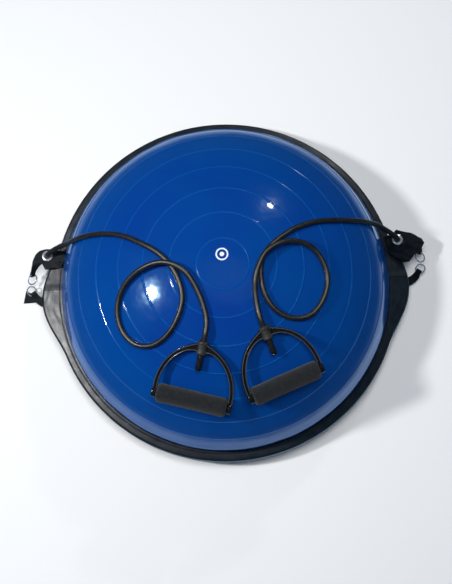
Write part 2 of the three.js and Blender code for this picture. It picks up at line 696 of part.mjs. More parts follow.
function addTubeAndHandle(side, { lead, lay, handle }) {
  const frame = handleFrame(handle);
  addPart(frame, `${side}_handle_bow`, bow(), BOW_PLASTIC);
  addPart(frame, `${side}_tube_tail`, tubeTail(), TUBE_RUBBER);
  addPart(frame, `${side}_tail_plug`, tailPlug(), FOOT_RUBBER);
  addPart(frame, `${side}_grip_core`, gripCore(), BOW_PLASTIC);
  addPart(frame, `${side}_foam_grip`, foamGrip(), FOAM);

  frame.updateWorldMatrix(true, false);
  const approach = frame.localToWorld(new THREE.Vector3(0, -PIVOT_BACK - APPROACH, 0));
  const end = frame.localToWorld(new THREE.Vector3(0, -PIVOT_BACK, 0));
  const laid = lay.map(([x, y, lift]) => new THREE.Vector3(x, y, domeHeight(x, y, LAY + lift)));
  const route = [...lead.map(toVector), ...laid, approach, end];
  addPart(trainer, `${side}_tube`, rodAlong(route, TUBE_RADIUS, 8, 64), TUBE_RUBBER);
}

for (const [side, layout] of Object.entries(SIDES)) {
  addConnector(side, layout);
  addTubeAndHandle(side, layout);
}

export default trainer;
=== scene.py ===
"""Looks for the balance dome trainer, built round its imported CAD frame. Metres, +Z up, user at -Y."""
import json
import math

import bmesh
import bpy
import numpy as np
from mathutils import Matrix, Vector, noise


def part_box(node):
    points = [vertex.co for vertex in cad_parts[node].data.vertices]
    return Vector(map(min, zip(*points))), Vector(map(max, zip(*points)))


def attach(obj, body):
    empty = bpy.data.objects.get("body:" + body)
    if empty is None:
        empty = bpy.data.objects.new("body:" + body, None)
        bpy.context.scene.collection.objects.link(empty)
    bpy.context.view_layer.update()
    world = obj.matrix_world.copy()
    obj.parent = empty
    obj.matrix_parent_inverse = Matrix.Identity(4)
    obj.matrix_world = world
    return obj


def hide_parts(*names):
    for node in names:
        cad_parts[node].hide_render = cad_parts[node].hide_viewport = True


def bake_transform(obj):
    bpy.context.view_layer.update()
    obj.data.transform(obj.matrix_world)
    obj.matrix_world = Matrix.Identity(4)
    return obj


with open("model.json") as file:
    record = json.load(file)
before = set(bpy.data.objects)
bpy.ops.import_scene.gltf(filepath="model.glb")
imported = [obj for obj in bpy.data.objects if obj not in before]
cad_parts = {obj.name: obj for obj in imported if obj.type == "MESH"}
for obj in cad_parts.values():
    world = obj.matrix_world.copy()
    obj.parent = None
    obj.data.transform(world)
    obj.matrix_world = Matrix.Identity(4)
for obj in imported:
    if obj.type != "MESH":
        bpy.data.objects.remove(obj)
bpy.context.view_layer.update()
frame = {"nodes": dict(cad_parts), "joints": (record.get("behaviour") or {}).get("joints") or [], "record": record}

scene = bpy.context.scene
joints = {joint["name"]: joint for joint in frame["joints"]}
SIDES = ("left", "right")
UP = Vector((0, 0, 1))

# ---- dimensions taken from the frame ----
dome_low, dome_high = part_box("dome_skin")
band_low, band_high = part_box("rim_band_front")
DOME_RADIUS = dome_high.x
DOME_FOOT = dome_low.z
RIM_TOP = band_high.z
RIM_BOTTOM = band_low.z
RIM_RADIUS = -band_low.y
DOME_RISE = dome_high.z - RIM_TOP

# ---- dimensions that repeat the CAD source's ----
EAR_REACH = 0.021
EAR_HALF_ANGLE = math.radians(20.4)
EAR_SHIFT = math.radians(-1.6)
BAND_INNER = DOME_RADIUS + 0.0012
BAND_WALL = 0.004
TUBE_RADIUS = 0.0043
LAY = TUBE_RADIUS + 0.0006
STRAP_THICKNESS = 0.0016
WIRE = 0.0012
SNAP_RADIUS = 0.009
FOLD = WIRE + STRAP_THICKNESS / 2 + 0.0009
FOLD_SLACK = 0.00035
HUB_HALF = 0.011
GRIP_OFFSET = 0.088
GRIP_HALF = 0.057
FOAM_RADIUS = 0.0155
CORE_RADIUS = 0.008
BOW_HALF = 0.061
BOW_STRAP = 0.007
BOW_DEPTH = 0.009
CROWN_DROP = 0.076
TAIL_END = 0.036

# The CAD source's routes and stations, in millimetres. Each tube has the lead that climbs from the eyelet
# to the dome, as x, y, z, and then its lay on the dome, as x, y and the lift over a tube that lies flat on
# the skin. The webbing's stations are x, y, z, the direction across the webbing, and its width.
ROUTES = {
    "left": {
        "lead": [
            (-309, 68, 37), (-309, 68, 45), (-307.5, 68.5, 54), (-302, 70.5, 63), (-293, 73.5, 71),
            (-283, 76, 79), (-274, 77, 88), (-266, 77, 98.5),
        ],
        "lay": [
            (-254, 76, 0), (-237, 75, 0), (-215, 73, 0), (-187, 68, 0), (-158, 58, 0), (-130, 42, 0),
            (-104, 24, 0), (-84, 2, 0), (-70, -26, 0), (-66, -54, 0), (-74, -81, 0), (-92, -107, 0),
            (-117, -121, 0), (-143, -118, 0), (-163, -99, 0), (-172, -71, 0), (-168, -42, 1),
            (-152, -17, 4), (-127, -1, 8), (-101, 5, 9.4), (-79, 0, 9.6), (-58, -15, 7), (-42, -42, 3),
            (-33, -67, 2), (-29, -89, 3),
        ],
        "strap": [
            (-285, 60, 45.8, 0, 1, 0, 27), (-297, 64, 46, 0, 1, 0, 27), (-309, 68, 46, 0, 1, 0, 27),
            (-319.5, 66.5, 45.8, -0.3, 0.95, 0, 25), (-326.5, 60.5, 43.5, -0.65, 0.75, 0.1, 19),
            (-332, 52.5, 38.5, -0.8, 0.25, 0.4, 13), (-336.4, 43.4, 32.6, -0.78, -0.25, 0.57, 9),
            (-337, 38, 29, -0.75, -0.4, 0.6, 7),
        ],
        "tab": [
            (-272, -12, 3.7, 0, 1, 0, 18), (-290, -12, 3.7, 0, 1, 0, 18), (-308, -11, 4.6, 0.1, 1, 0, 17),
            (-324, -7, 5.8, 0.5, 0.85, 0, 16), (-335, 1, 6.8, 0.8, 0.55, 0, 14),
            (-340, 9, 7.6, 0.95, 0.25, 0, 11),
        ],
    },
    "right": {
        "lead": [
            (304, 72, 37), (304, 72, 45), (302.5, 72.8, 54), (297, 75.5, 63), (288.5, 79.5, 71.5),
            (279.5, 83, 80.5), (271, 85.5, 90.5), (263, 86.5, 101.5),
        ],
        "lay": [
            (251, 86, 0), (233, 83, 0), (209, 79, 0), (180, 75, 0), (150, 69, 0), (119, 57, 0),
            (93, 40, 0), (73, 22, 0), (62, 2, 0), (59, -18, 0), (61, -40, 0), (70, -64, 0), (88, -82, 0),
            (113, -89, 0), (137, -82, 0), (157, -58, 0), (166, -25, 0), (158, 5, 1), (141, 25, 3),
            (115, 33, 6), (88, 27, 9), (68, 13, 9.6), (56, -8, 9.6), (50, -29, 7), (49, -50, 3.5),
            (51, -70, 3.5),
        ],
        "strap": [
            (284, 66, 45.8, 0, 1, 0, 27), (293, 69, 46, 0, 1, 0, 27), (304, 72, 46, 0, 1, 0, 27),
            (316, 73, 46, 0, 1, 0, 27), (326, 72, 45, 0.15, 1, 0, 26), (335, 68, 43, 0.6, 0.8, 0, 22),
            (341, 59, 37, 0.8, 0.1, 0.5, 14), (342, 50, 31, 0.8, -0.35, 0.55, 7),
        ],
        "tab": [
            (272, 0, 3.7, 0, 1, 0, 18), (290, 0, 3.7, 0, 1, 0, 18), (308, 1, 4.6, -0.1, 1, 0, 17),
            (325, 5, 5.8, -0.5, 0.85, 0, 16), (337, 13, 6.8, -0.8, 0.55, 0, 14),
            (343, 22, 7.6, -0.95, 0.25, 0, 11),
        ],
    },
}


# ---- camera ----
CAMERA_DISTANCE = 2.0
CAMERA_ELEVATION = math.radians(78.6)
CAMERA_AZIMUTH = math.radians(3.13)
CAMERA_ROLL = math.radians(-5.35)
CAMERA_LENS = 70.84
FRAMING_SHIFT = (0.0015, -0.0079)


def make_camera():
    back = Vector((
        math.sin(CAMERA_AZIMUTH) * math.cos(CAMERA_ELEVATION),
        -math.cos(CAMERA_AZIMUTH) * math.cos(CAMERA_ELEVATION),
        math.sin(CAMERA_ELEVATION),
    ))
    level = UP.cross(back).normalized()
    upright = back.cross(level)
    right = math.cos(CAMERA_ROLL) * level + math.sin(CAMERA_ROLL) * upright
    up = back.cross(right)
    data = bpy.data.cameras.new("camera")
    data.lens = CAMERA_LENS
    data.shift_x, data.shift_y = FRAMING_SHIFT
    camera = bpy.data.objects.new("camera", data)
    scene.collection.objects.link(camera)
    pose = Matrix((right, up, back)).transposed().to_4x4()
    pose.translation = Vector((0, 0, RIM_TOP)) + CAMERA_DISTANCE * back
    camera.matrix_world = pose
    scene.camera = camera


make_camera()


# ---- helpers ----
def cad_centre(node):
    low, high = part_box(node)
    return (low + high) / 2


def metres(millimetres):
    return [value / 1000 for value in millimetres]


def mesh_object(name, vertices, faces, sharp_degrees=40):
    mesh = bpy.data.meshes.new(name)
    mesh.from_pydata([tuple(v) for v in vertices], [], faces)
    mesh.update()
    work = bmesh.new()
    work.from_mesh(mesh)
    bmesh.ops.remove_doubles(work, verts=work.verts, dist=1e-6)
    bmesh.ops.recalc_face_normals(work, faces=work.faces)
    work.to_mesh(mesh)
    work.free()
    mesh.shade_smooth()
    mesh.set_sharp_from_angle(angle=math.radians(sharp_degrees))
    piece = bpy.data.objects.new(name, mesh)
    scene.collection.objects.link(piece)
    return piece


def loft(name, rings, looped=False, sharp_degrees=40):
    """Quads between rings of equal length; the ends are capped with fans unless the rings loop."""
    rings = [[Vector(point) for point in ring] for ring in rings]
    sides = len(rings[0])
    vertices = [point for ring in rings for point in ring]
    faces = []
    for i in range(len(rings) if looped else len(rings) - 1):
        here, there = i * sides, ((i + 1) % len(rings)) * sides
        for k in range(sides):
            n = (k + 1) % sides
            faces.append((here + k, here + n, there + n, there + k))
    if not looped:
        for ring, start in ((rings[0], 0), (rings[-1], (len(rings) - 1) * sides)):
            centre = len(vertices)
            vertices.append(sum(ring, Vector()) / sides)
            faces += [(centre, start + k, start + (k + 1) % sides) for k in range(sides)]
    return mesh_object(name, vertices, faces, sharp_degrees)


def turned(name, profile, segments, sharp_degrees=40):
    """A closed profile of (radius, height) turned about Z; it starts and ends on the axis, or loops."""
    on_axis = profile[0][0] < 1e-9
    around = [2 * math.pi * k / segments for k in range(segments)]
    rows = [[(r * math.cos(a), r * math.sin(a), z) for a in around] for r, z in profile]
    if not on_axis:
        rows.append(rows[0])
    vertices = [point for row in rows for point in row]
    faces = []
    for i in range(len(rows) - 1):
        for k in range(segments):
            n = (k + 1) % segments
            corners = [i * segments + k, i * segments + n, (i + 1) * segments + n, (i + 1) * segments + k]
            if on_axis and i == 0:
                corners.pop(1)
            elif on_axis and i == len(rows) - 2:
                corners.pop(3)
            faces.append(tuple(corners))
    return mesh_object(name, vertices, faces, sharp_degrees)


def swept_rings(points, section, up_hint=None):
    """Rings of a section of (side, lift) pairs carried along points without twisting."""
    points = [Vector(p) for p in points]
    tangents = []
    for i in range(len(points)):
        ahead, behind = points[min(i + 1, len(points) - 1)], points[max(i - 1, 0)]
        tangents.append((ahead - behind).normalized())
    lift = Vector(up_hint) if up_hint else tangents[0].orthogonal()
    rings = []
    for point, tangent in zip(points, tangents):
        lift = (lift - lift.dot(tangent) * tangent).normalized()
        side = tangent.cross(lift)
        rings.append([point + s * side + h * lift for s, h in section])
    return rings


def circle(radius, sides):
    return [
        (radius * math.cos(2 * math.pi * k / sides), radius * math.sin(2 * math.pi * k / sides))
        for k in range(sides)
    ]


SPAN_STEPS = 24              # fine steps between two of a curve's given points


def between(p, q, start, end, at):
    """The point at a place between p, which stands at start, and q, which stands at end."""
    return (end - at) / (end - start) * p + (at - start) / (end - start) * q


def centripetal(points, samples):
    """Points evenly spaced along the centripetal Catmull-Rom curve through the given ones."""
    knots = [Vector(p) for p in points]
    knots = [2 * knots[0] - knots[1], *knots, 2 * knots[-1] - knots[-2]]
    dense = []
    for p0, p1, p2, p3 in zip(knots, knots[1:], knots[2:], knots[3:]):
        t0 = 0.0
        t1 = t0 + math.sqrt((p1 - p0).length)
        t2 = t1 + math.sqrt((p2 - p1).length)
        t3 = t2 + math.sqrt((p3 - p2).length)
        for k in range(SPAN_STEPS):
            t = t1 + (t2 - t1) * k / SPAN_STEPS
            a1 = between(p0, p1, t0, t1, t)
            a2 = between(p1, p2, t1, t2, t)
            a3 = between(p2, p3, t2, t3, t)
            b1 = between(a1, a2, t0, t2, t)
            b2 = between(a2, a3, t1, t3, t)
            dense.append(between(b1, b2, t1, t2, t))
    dense.append(knots[-2])
    line = np.array(dense)
    along = np.concatenate([[0], np.cumsum(np.linalg.norm(np.diff(line, axis=0), axis=1))])
    at = np.linspace(0, along[-1], samples)
    even = [np.interp(at, along, line[:, k]) for k in range(3)]
    return [Vector(p) for p in np.stack(even, axis=1)]


def finish_piece(piece, slot, body, *replaced, paint=None):
    """Paints a piece, by its slot unless a paint is given, and ties it to its body and its CAD nodes."""
    piece.data.materials.clear()
    piece.data.materials.append(paint or PAINTS[slot])
    if body:
        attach(piece, body)
    if replaced:
        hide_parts(*replaced)
    return piece


# ---- materials ----
class Paint:
    """A Principled material with short calls for the nodes that these surfaces share."""

    def __init__(self, name, colour, roughness, metallic=0.0):
        self.material = bpy.data.materials.new(name)
        self.material.use_nodes = True
        self.tree = self.material.node_tree
        self.shader = self.tree.nodes["Principled BSDF"]
        self.set("Base Color", (*colour, 1))
        self.set("Roughness", roughness)
        self.set("Metallic", metallic)
        self.place = self.tree.nodes.new("ShaderNodeTexCoord").outputs["Object"]
        self.normal = None

    def set(self, socket, value):
        self.shader.inputs[socket].default_value = value

    def link(self, output, target):
        self.tree.links.new(output, target)

    def node(self, kind, values, **links):
        """A new node with the given input values, and its inputs linked to the given outputs."""
        node = self.tree.nodes.new(f"ShaderNode{kind}")
        for socket, value in values.items():
            node.inputs[socket].default_value = value
        for socket, output in links.items():
            self.link(output, node.inputs[socket])
        return node

    def noise(self, scale, detail=4.0, roughness=0.55):
        values = {"Scale": scale, "Detail": detail, "Roughness": roughness}
        return self.node("TexNoise", values, Vector=self.place).outputs["Fac"]

    def cells(self, scale):
        return self.node("TexVoronoi", {"Scale": scale}, Vector=self.place).outputs["Distance"]

    def waves(self, scale, direction, distortion=0.0):
        node = self.node("TexWave", {"Scale": scale, "Distortion": distortion}, Vector=self.place)
        node.wave_type = "BANDS"
        node.bands_direction = direction
        return node.outputs["Fac"]

    def ramp(self, source, low, high, start=0.35, end=0.65):
        """Turns a grey value into one between low and high, which are both numbers or both colours."""
        spread = self.node("MapRange", {"From Min": start, "From Max": end}, Value=source)
        colours = isinstance(low, tuple)
        first, second, result = (6, 7, 2) if colours else (2, 3, 0)
        node = self.node("Mix", {})
        node.data_type = "RGBA" if colours else "FLOAT"
        self.link(spread.outputs["Result"], node.inputs[0])
        node.inputs[first].default_value = (*low, 1) if colours else low
        node.inputs[second].default_value = (*high, 1) if colours else high
        return node.outputs[result]

    def vary_colour(self, source, low, high, start=0.35, end=0.65):
        self.link(self.ramp(source, low, high, start, end), self.shader.inputs["Base Color"])

    def overlay(self, share, colour):
        """Blends a second colour over the first one where share is high."""
        node = self.node("Mix", {})
        node.data_type = "RGBA"
        self.link(share, node.inputs[0])
        self.link(self.shader.inputs["Base Color"].links[0].from_socket, node.inputs[6])
        node.inputs[7].default_value = (*colour, 1)
        self.link(node.outputs[2], self.shader.inputs["Base Color"])

    def attribute(self, name):
        node = self.node("Attribute", {})
        node.attribute_name = name
        return node.outputs["Fac"]

    def rise(self, vector, start, end):
        """Rises from 0 to 1 as a vector's Z goes from start to end."""
        parts = self.node("SeparateXYZ", {}, Vector=vector)
        return self.ramp(parts.outputs["Z"], 0.0, 1.0, start, end)

    def height(self, start, end):
        """Rises from 0 to 1 between two heights above the floor."""
        return self.rise(self.place, start, end)

    def facing_up(self, start, end):
        """Rises from 0 to 1 as the surface turns level, between two values of its normal's height."""
        return self.rise(self.node("NewGeometry", {}).outputs["Normal"], start, end)

    def vary_roughness(self, source, low, high, start=0.35, end=0.65):
        self.link(self.ramp(source, low, high, start, end), self.shader.inputs["Roughness"])

    def bump(self, height, depth):
        """Adds fine relief on top of any relief given before."""
        node = self.node("Bump", {"Distance": depth, "Strength": 1.0}, Height=height)
        if self.normal is not None:
            self.link(self.normal, node.inputs["Normal"])
        self.normal = node.outputs["Normal"]
        self.link(self.normal, self.shader.inputs["Normal"])


LIGHTER_BLUE_FROM = 0.215       # heights on the dome between which its skin turns to a lighter, clearer blue towards the foot
LIGHTER_BLUE_FULLY = 0.125


def dome_paint():
    """Royal blue PVC: slow colour drift, clearer towards the foot, ribs painted a paler blue as a painted
    highlight, a glossy film over a softer sheen.
    """
    paint = Paint("blue_pvc", (0.003, 0.05, 0.27), 0.2)
    paint.set("IOR", 1.5)
    paint.set("Specular IOR Level", 0.16)
    paint.set("Specular Tint", (0.5, 0.85, 1, 1))
    paint.set("Coat Weight", 0.75)
    paint.set("Coat Roughness", 0.05)
    paint.vary_colour(paint.noise(5.0, 2.0), (0.0018, 0.037, 0.25), (0.0008, 0.058, 0.265), 0.3, 0.7)
    # the skin turns a lighter, clearer blue towards the foot
    paint.overlay(paint.height(LIGHTER_BLUE_FROM, LIGHTER_BLUE_FULLY), (0.0, 0.064, 0.31))
    # painted highlight: the ribs' crests are painted a paler blue where they catch the light
    paint.overlay(paint.attribute("raised"), (0.002, 0.074, 0.325))
    paint.vary_roughness(paint.noise(20.0, 3.0), 0.17, 0.23)
    paint.bump(paint.noise(28.0, 2.0), 0.0009)
    paint.bump(paint.noise(900.0, 2.0), 0.00002)
    return paint.material


def band_paint():
    """Satin black flexible PVC with a fine grain and a shade that varies a little at random."""
    paint = Paint("black_band", (0.011, 0.012, 0.014), 0.4)
    paint.vary_colour(paint.noise(90.0, 6.0), (0.0045, 0.0070, 0.0105), (0.011, 0.0145, 0.0195))
    paint.set("Specular IOR Level", 0.85)
    paint.vary_roughness(paint.noise(35.0, 5.0), 0.34, 0.46)
    paint.bump(paint.noise(45.0, 3.0), 0.0004)
    paint.bump(paint.cells(1400.0), 0.00006)
    return paint.material


def platform_paint():
    """Moulded black plastic with a spark-eroded grain."""
    paint = Paint("platform_plastic", (0.02, 0.021, 0.022), 0.5)
    paint.vary_colour(paint.noise(40.0), (0.016, 0.017, 0.018), (0.028, 0.029, 0.03))
    paint.vary_roughness(paint.noise(120.0), 0.42, 0.62)
    paint.bump(paint.cells(900.0), 0.00015)
    return paint.material


def tube_paint():
    """Extruded black latex: satin, mottled, with a pale line painted along the side that faces up as a painted
    highlight.
    """
    paint = Paint("black_latex", (0.012, 0.012, 0.012), 0.36)
    paint.vary_colour(paint.noise(150.0, 5.0), (0.009, 0.009, 0.0095), (0.021, 0.02, 0.019))
    # painted highlight: a pale brownish line on the side that faces up, standing in for the light the tube catches
    # there
    paint.overlay(paint.facing_up(0.93, 1.04), (0.18, 0.166, 0.134))
    paint.vary_roughness(paint.noise(260.0), 0.3, 0.44)
    paint.bump(paint.noise(420.0, 3.0), 0.00012)
    return paint.material


def rubber_paint():
    """Matt black moulded rubber."""
    paint = Paint("moulded_rubber", (0.012, 0.012, 0.0125), 0.75)
    paint.vary_colour(paint.noise(200.0), (0.009, 0.009, 0.0095), (0.02, 0.02, 0.02))
    paint.vary_roughness(paint.noise(90.0), 0.66, 0.85)
    paint.bump(paint.noise(1500.0, 2.0), 0.00008)
    return paint.material


def webbing_paint():
    """Black nylon webbing: crossed ribs of thread, faintly fuzzy, with a low sheen."""
    paint = Paint("nylon_webbing", (0.006, 0.0065, 0.007), 0.6)
    paint.set("Sheen Weight", 0.02)
    paint.set("Sheen Roughness", 0.5)
    paint.set("Specular IOR Level", 0.4)
    paint.vary_colour(paint.noise(700.0, 3.0), (0.0014, 0.0023, 0.0040), (0.0045, 0.0068, 0.0100))
    paint.vary_roughness(paint.noise(300.0, 3.0), 0.36, 0.50)
    for direction in ("X", "Y"):
        paint.bump(paint.waves(180.0, direction, 1.5), 0.00022)
    return paint.material


def chrome_paint():
    """Bright plating, dulled to a satin in patches by handling."""
    paint = Paint("chrome", (0.82, 0.83, 0.85), 0.2, 0.72)
    paint.vary_colour(paint.noise(500.0), (0.7, 0.71, 0.73), (0.9, 0.9, 0.91))
    paint.vary_roughness(paint.noise(300.0, 5.0), 0.12, 0.3)
    paint.bump(paint.noise(900.0), 0.00003)
    return paint.material


def steel_paint():
    """Zinc-plated screws with turning marks."""
    paint = Paint("zinc_steel", (0.46, 0.46, 0.47), 0.35, 1.0)
    paint.vary_roughness(paint.noise(500.0), 0.28, 0.5)
    paint.bump(paint.waves(900.0, "Z"), 0.00004)
    return paint.material


def bow_paint():
    """Glossy black moulding with the faint flow marks of the mould, and a painted highlight along the strap's
    raised edges.
    """
    paint = Paint("gloss_black_plastic", (0.011, 0.011, 0.011), 0.2)
    paint.vary_colour(paint.noise(120.0), (0.005, 0.005, 0.005), (0.010, 0.010, 0.0095))
    # painted highlight: the raised edges are painted a paler grey where they catch the light
    paint.overlay(paint.attribute("edge"), (0.07, 0.072, 0.066))
    paint.vary_roughness(paint.noise(180.0, 5.0), 0.14, 0.3)
    paint.bump(paint.noise(240.0, 3.0), 0.00015)
    return paint.material


def hub_paint():
    """The same plastic with the matt grain of the hub."""
    paint = Paint("grained_black_plastic", (0.03, 0.0295, 0.028), 0.45)
    paint.vary_colour(paint.noise(300.0), (0.021, 0.0205, 0.0195), (0.045, 0.044, 0.041))
    paint.vary_roughness(paint.noise(400.0), 0.36, 0.55)
    paint.bump(paint.cells(1500.0), 0.00012)
    return paint.material


def tail_paint():
    """The tube's stretched end, shinier than the rest where the plug swells it."""
    paint = Paint("stretched_latex", (0.010, 0.010, 0.010), 0.16)
    paint.vary_colour(paint.noise(200.0), (0.007, 0.007, 0.007), (0.016, 0.0155, 0.015))
    paint.vary_roughness(paint.noise(300.0), 0.12, 0.24)
    paint.bump(paint.noise(260.0, 3.0), 0.0002)
    return paint.material


def foam_paint():
    """Closed-cell foam: matt brownish black, speckled with open cells at its cut skin."""
    paint = Paint("grip_foam", (0.03, 0.029, 0.028), 0.95)
    paint.set("Sheen Weight", 0.12)
    paint.set("Sheen Roughness", 0.6)
    paint.set("Specular IOR Level", 0.25)
    paint.vary_colour(paint.noise(160.0, 6.0, 0.7), (0.0075, 0.0085, 0.0105), (0.017, 0.019, 0.022), 0.3, 0.7)
    paint.bump(paint.cells(1100.0), 0.0004)
    paint.bump(paint.noise(220.0), 0.0006)
    return paint.material


def print_paint():
    """White screen print, slightly worn."""
    paint = Paint("white_print", (0.78, 0.8, 0.84), 0.3)
    paint.vary_colour(paint.noise(600.0, 5.0), (0.62, 0.66, 0.74), (0.84, 0.86, 0.9), 0.25, 0.5)
    paint.vary_roughness(paint.noise(300.0, 3.0), 0.22, 0.4)
    return paint.material


def thread_paint():
    """Polyester sewing thread, a shade paler than the webbing."""
    paint = Paint("sewing_thread", (0.03, 0.03, 0.032), 0.55)
    paint.vary_colour(paint.noise(900.0, 2.0), (0.02, 0.02, 0.022), (0.045, 0.045, 0.048))
    paint.bump(paint.waves(1400.0, "DIAGONAL"), 0.00008)
    return paint.material


PAINTS = {
    "dome_pvc": dome_paint(),
    "rim_band": band_paint(),
    "platform_plastic": platform_paint(),
    "screw_steel": steel_paint(),
    "moulded_rubber": rubber_paint(),
    "tube_rubber": tube_paint(),
    "webbing": webbing_paint(),
    "chrome_wire": chrome_paint(),
    "handle_plastic": bow_paint(),
    "grip_foam": foam_paint(),
}
HUB_PAINT = hub_paint()
TAIL_PAINT = tail_paint()
PRINT_PAINT = print_paint()
THREAD_PAINT = thread_paint()


def paint_frame():
    """The CAD nodes that stay visible take the same materials as the new pieces."""
    for row in frame["record"]["subparts"]:
        node = frame["nodes"][row["node"]]
        node.data.materials.clear()
        node.data.materials.append(PAINTS[row["material_slot"]])


paint_frame()


# ---- resistance tubes ----
TUBE_SIDES = 18
TUBE_STEPS = 300
TUBE_BEFORE_PIVOT = 0.010    # the tube lies in line with the hub from here
TUBE_INTO_HUB = 0.009        # and runs this far past the pivot, into the hub


def handle_matrix(side):
    """X across the handle, Y from the hub to the grip, Z away from the dome, origin at the hub."""
    lift, spin = joints[f"{side}_handle_lift"], joints[f"{side}_grip_spin"]
    grip = Vector(spin["pos_m"])
    across = Vector(lift["axis"]).normalized()
    along = (grip - Vector(lift["pos_m"])).normalized()
    matrix = Matrix((across, along, across.cross(along))).transposed().to_4x4()
    matrix.translation = grip - GRIP_OFFSET * along
    return matrix


def dome_height(x, y, offset):
    radial = math.hypot(x, y) / (DOME_RADIUS + offset)
    return RIM_TOP + (DOME_RISE + offset) * math.sqrt(1 - radial * radial)


def tube_route(side):
    route = ROUTES[side]
    pivot = Vector(joints[f"{side}_handle_lift"]["pos_m"])
    along = handle_matrix(side).to_3x3() @ Vector((0, 1, 0))
    lead = [metres(point) for point in route["lead"]]
    laid = [(x, y, dome_height(x, y, LAY + lift)) for x, y, lift in map(metres, route["lay"])]
    return [*lead, *laid, pivot - TUBE_BEFORE_PIVOT * along, pivot, pivot + TUBE_INTO_HUB * along]


def add_tube(side):
    path = centripetal(tube_route(side), TUBE_STEPS)
    tube = loft(f"{side}_tube_skin", swept_rings(path, circle(TUBE_RADIUS, TUBE_SIDES)))
    finish_piece(tube, "tube_rubber", None, f"{side}_tube")

    along = handle_matrix(side).to_3x3() @ Vector((0, 1, 0))
    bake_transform(tube)


for side in SIDES:
    add_tube(side)


# ---- dome ----
DOME_SEGMENTS = 256
SKIN = 0.0025
BEAD_INNER = 0.269
BEAD_HEIGHT = 0.0031
RIB_START = 0.0415           # first ring rib, measured along the skin from the apex
RIB_PITCH = 0.0452
RIB_COUNT = 7
RIB_HEIGHT = 0.0007
RIB_WIDTH = 0.0010
RIB_UNEVEN = 0.0003
SKIN_STEP = 0.005
WOBBLE = 0.0006              # how far the blown skin wanders from its true curve near the foot
WOBBLE_SCALE = 26.0
BULGE = 0.0026               # the blown skin swells out a little above the rim
BULGE_HEIGHT = 0.017
BULGE_SPREAD = 0.013
INNER_STEPS = 24


def skin_curve():
    """The skin's outer curve, as matching lists of the angle from the apex and the distance along it."""
    angle = np.linspace(0, math.pi / 2, 3001)
    radius, height = DOME_RADIUS * np.sin(angle), DOME_RISE * np.cos(angle)
    steps = np.hypot(np.diff(radius), np.diff(height))
    return angle, np.concatenate([[0], np.cumsum(steps)])


SKIN_CURVE = skin_curve()


def outer_profile():
    """The skin from the apex to the rim as (radius, height), closely spaced over each rib."""
    angle, along = SKIN_CURVE
    ribs = [RIB_START + RIB_PITCH * i for i in range(RIB_COUNT)]
    places = list(np.arange(0, along[-1], SKIN_STEP)) + [along[-1]]
    places = [s for s in places if all(abs(s - rib) > 3 * RIB_WIDTH for rib in ribs)]
    for rib in ribs:
        places += [rib + RIB_WIDTH * k / 2 for k in range(-5, 6)]
    profile = []
    for s in sorted(places):
        a = float(np.interp(s, along, angle))
        outward = Vector((math.sin(a) / DOME_RADIUS, math.cos(a) / DOME_RISE)).normalized()
        raised = sum(RIB_HEIGHT * math.exp(-(((s - rib) / RIB_WIDTH) ** 2)) for rib in ribs)
        r = DOME_RADIUS * math.sin(a) + raised * outward.x
        z = RIM_TOP + DOME_RISE * math.cos(a) + raised * outward.y
        r += BULGE * math.exp(-(((z - RIM_TOP - BULGE_HEIGHT) / BULGE_SPREAD) ** 2))
        profile.append((r, z))
    return profile


def rib_share(place):
    """How far a point of the skin stands on a rib, from 0 to 1."""
    angle, along = SKIN_CURVE
    radius = min(1.0, math.hypot(place.x, place.y) / DOME_RADIUS)
    s = float(np.interp(math.asin(radius), angle, along))
    nearest = min(abs(s - RIB_START - RIB_PITCH * i) for i in range(RIB_COUNT))
    return math.exp(-((nearest / RIB_WIDTH) ** 2))


def add_dome():
    inner = []
    for k in range(INNER_STEPS + 1):
        a = (math.pi / 2) * (1 - k / INNER_STEPS)
        inner.append(((DOME_RADIUS - SKIN) * math.sin(a), RIM_TOP + (DOME_RISE - SKIN) * math.cos(a)))
    foot = [
        (DOME_RADIUS, DOME_FOOT + 0.001), (DOME_RADIUS - 0.001, DOME_FOOT), (BEAD_INNER, DOME_FOOT),
        (BEAD_INNER, DOME_FOOT + BEAD_HEIGHT), (DOME_RADIUS - SKIN, DOME_FOOT + BEAD_HEIGHT),
    ]
    profile = outer_profile() + foot + inner
    profile[0] = (0, profile[0][1])
    profile[-1] = (0, profile[-1][1])
    dome = turned("dome_shell", profile, DOME_SEGMENTS)
    for vertex in dome.data.vertices:
        x, y, z = vertex.co
        if z < RIM_TOP + 0.001:
            continue
        outward = Vector((x / DOME_RADIUS**2, y / DOME_RADIUS**2, (z - RIM_TOP) / DOME_RISE**2))
        outward.normalize()
        steep = 1 - outward.z
        amount = WOBBLE * (0.25 + steep) * noise.noise(vertex.co * WOBBLE_SCALE)
        amount += RIB_UNEVEN * rib_share(vertex.co) * noise.noise(vertex.co * 95)
        vertex.co += amount * outward
    # marks the ribs for the paler blue that paints their highlight
    raised = dome.data.attributes.new("raised", "FLOAT", "POINT")
    for vertex in dome.data.vertices:
        raised.data[vertex.index].value = rib_share(vertex.co)
    finish_piece(dome, "dome_pvc", "root", "dome_skin")


# A generic centring mark: a ring and a dot, in place of what is printed on the dome.
MARK_CENTRE = (-0.001, 0.0147)
MARK_LIFT = 0.00025
MARK_SIDES = 64


def printed_patch(name, inner, outer):
    """A thin white layer between two radii round the mark's centre, laid on the dome."""
    radii = [inner + (outer - inner) * k / 3 for k in range(4)]
    section = [(r, MARK_LIFT) for r in radii] + [(r, -MARK_LIFT) for r in reversed(radii)]
    rings = []
    for i in range(MARK_SIDES):
        a = 2 * math.pi * i / MARK_SIDES
        ring = []
        for r, lift in section:
            x = MARK_CENTRE[0] + r * math.cos(a)
            y = MARK_CENTRE[1] + r * math.sin(a)
            ring.append((x, y, dome_height(x, y, lift)))
        rings.append(ring)
    finish_piece(loft(name, rings, looped=True), "dome_pvc", "root", paint=PRINT_PAINT)


add_dome()
printed_patch("centre_mark_ring", 0.0078, 0.0102)
printed_patch("centre_mark_dot", 0.00005, 0.0036)


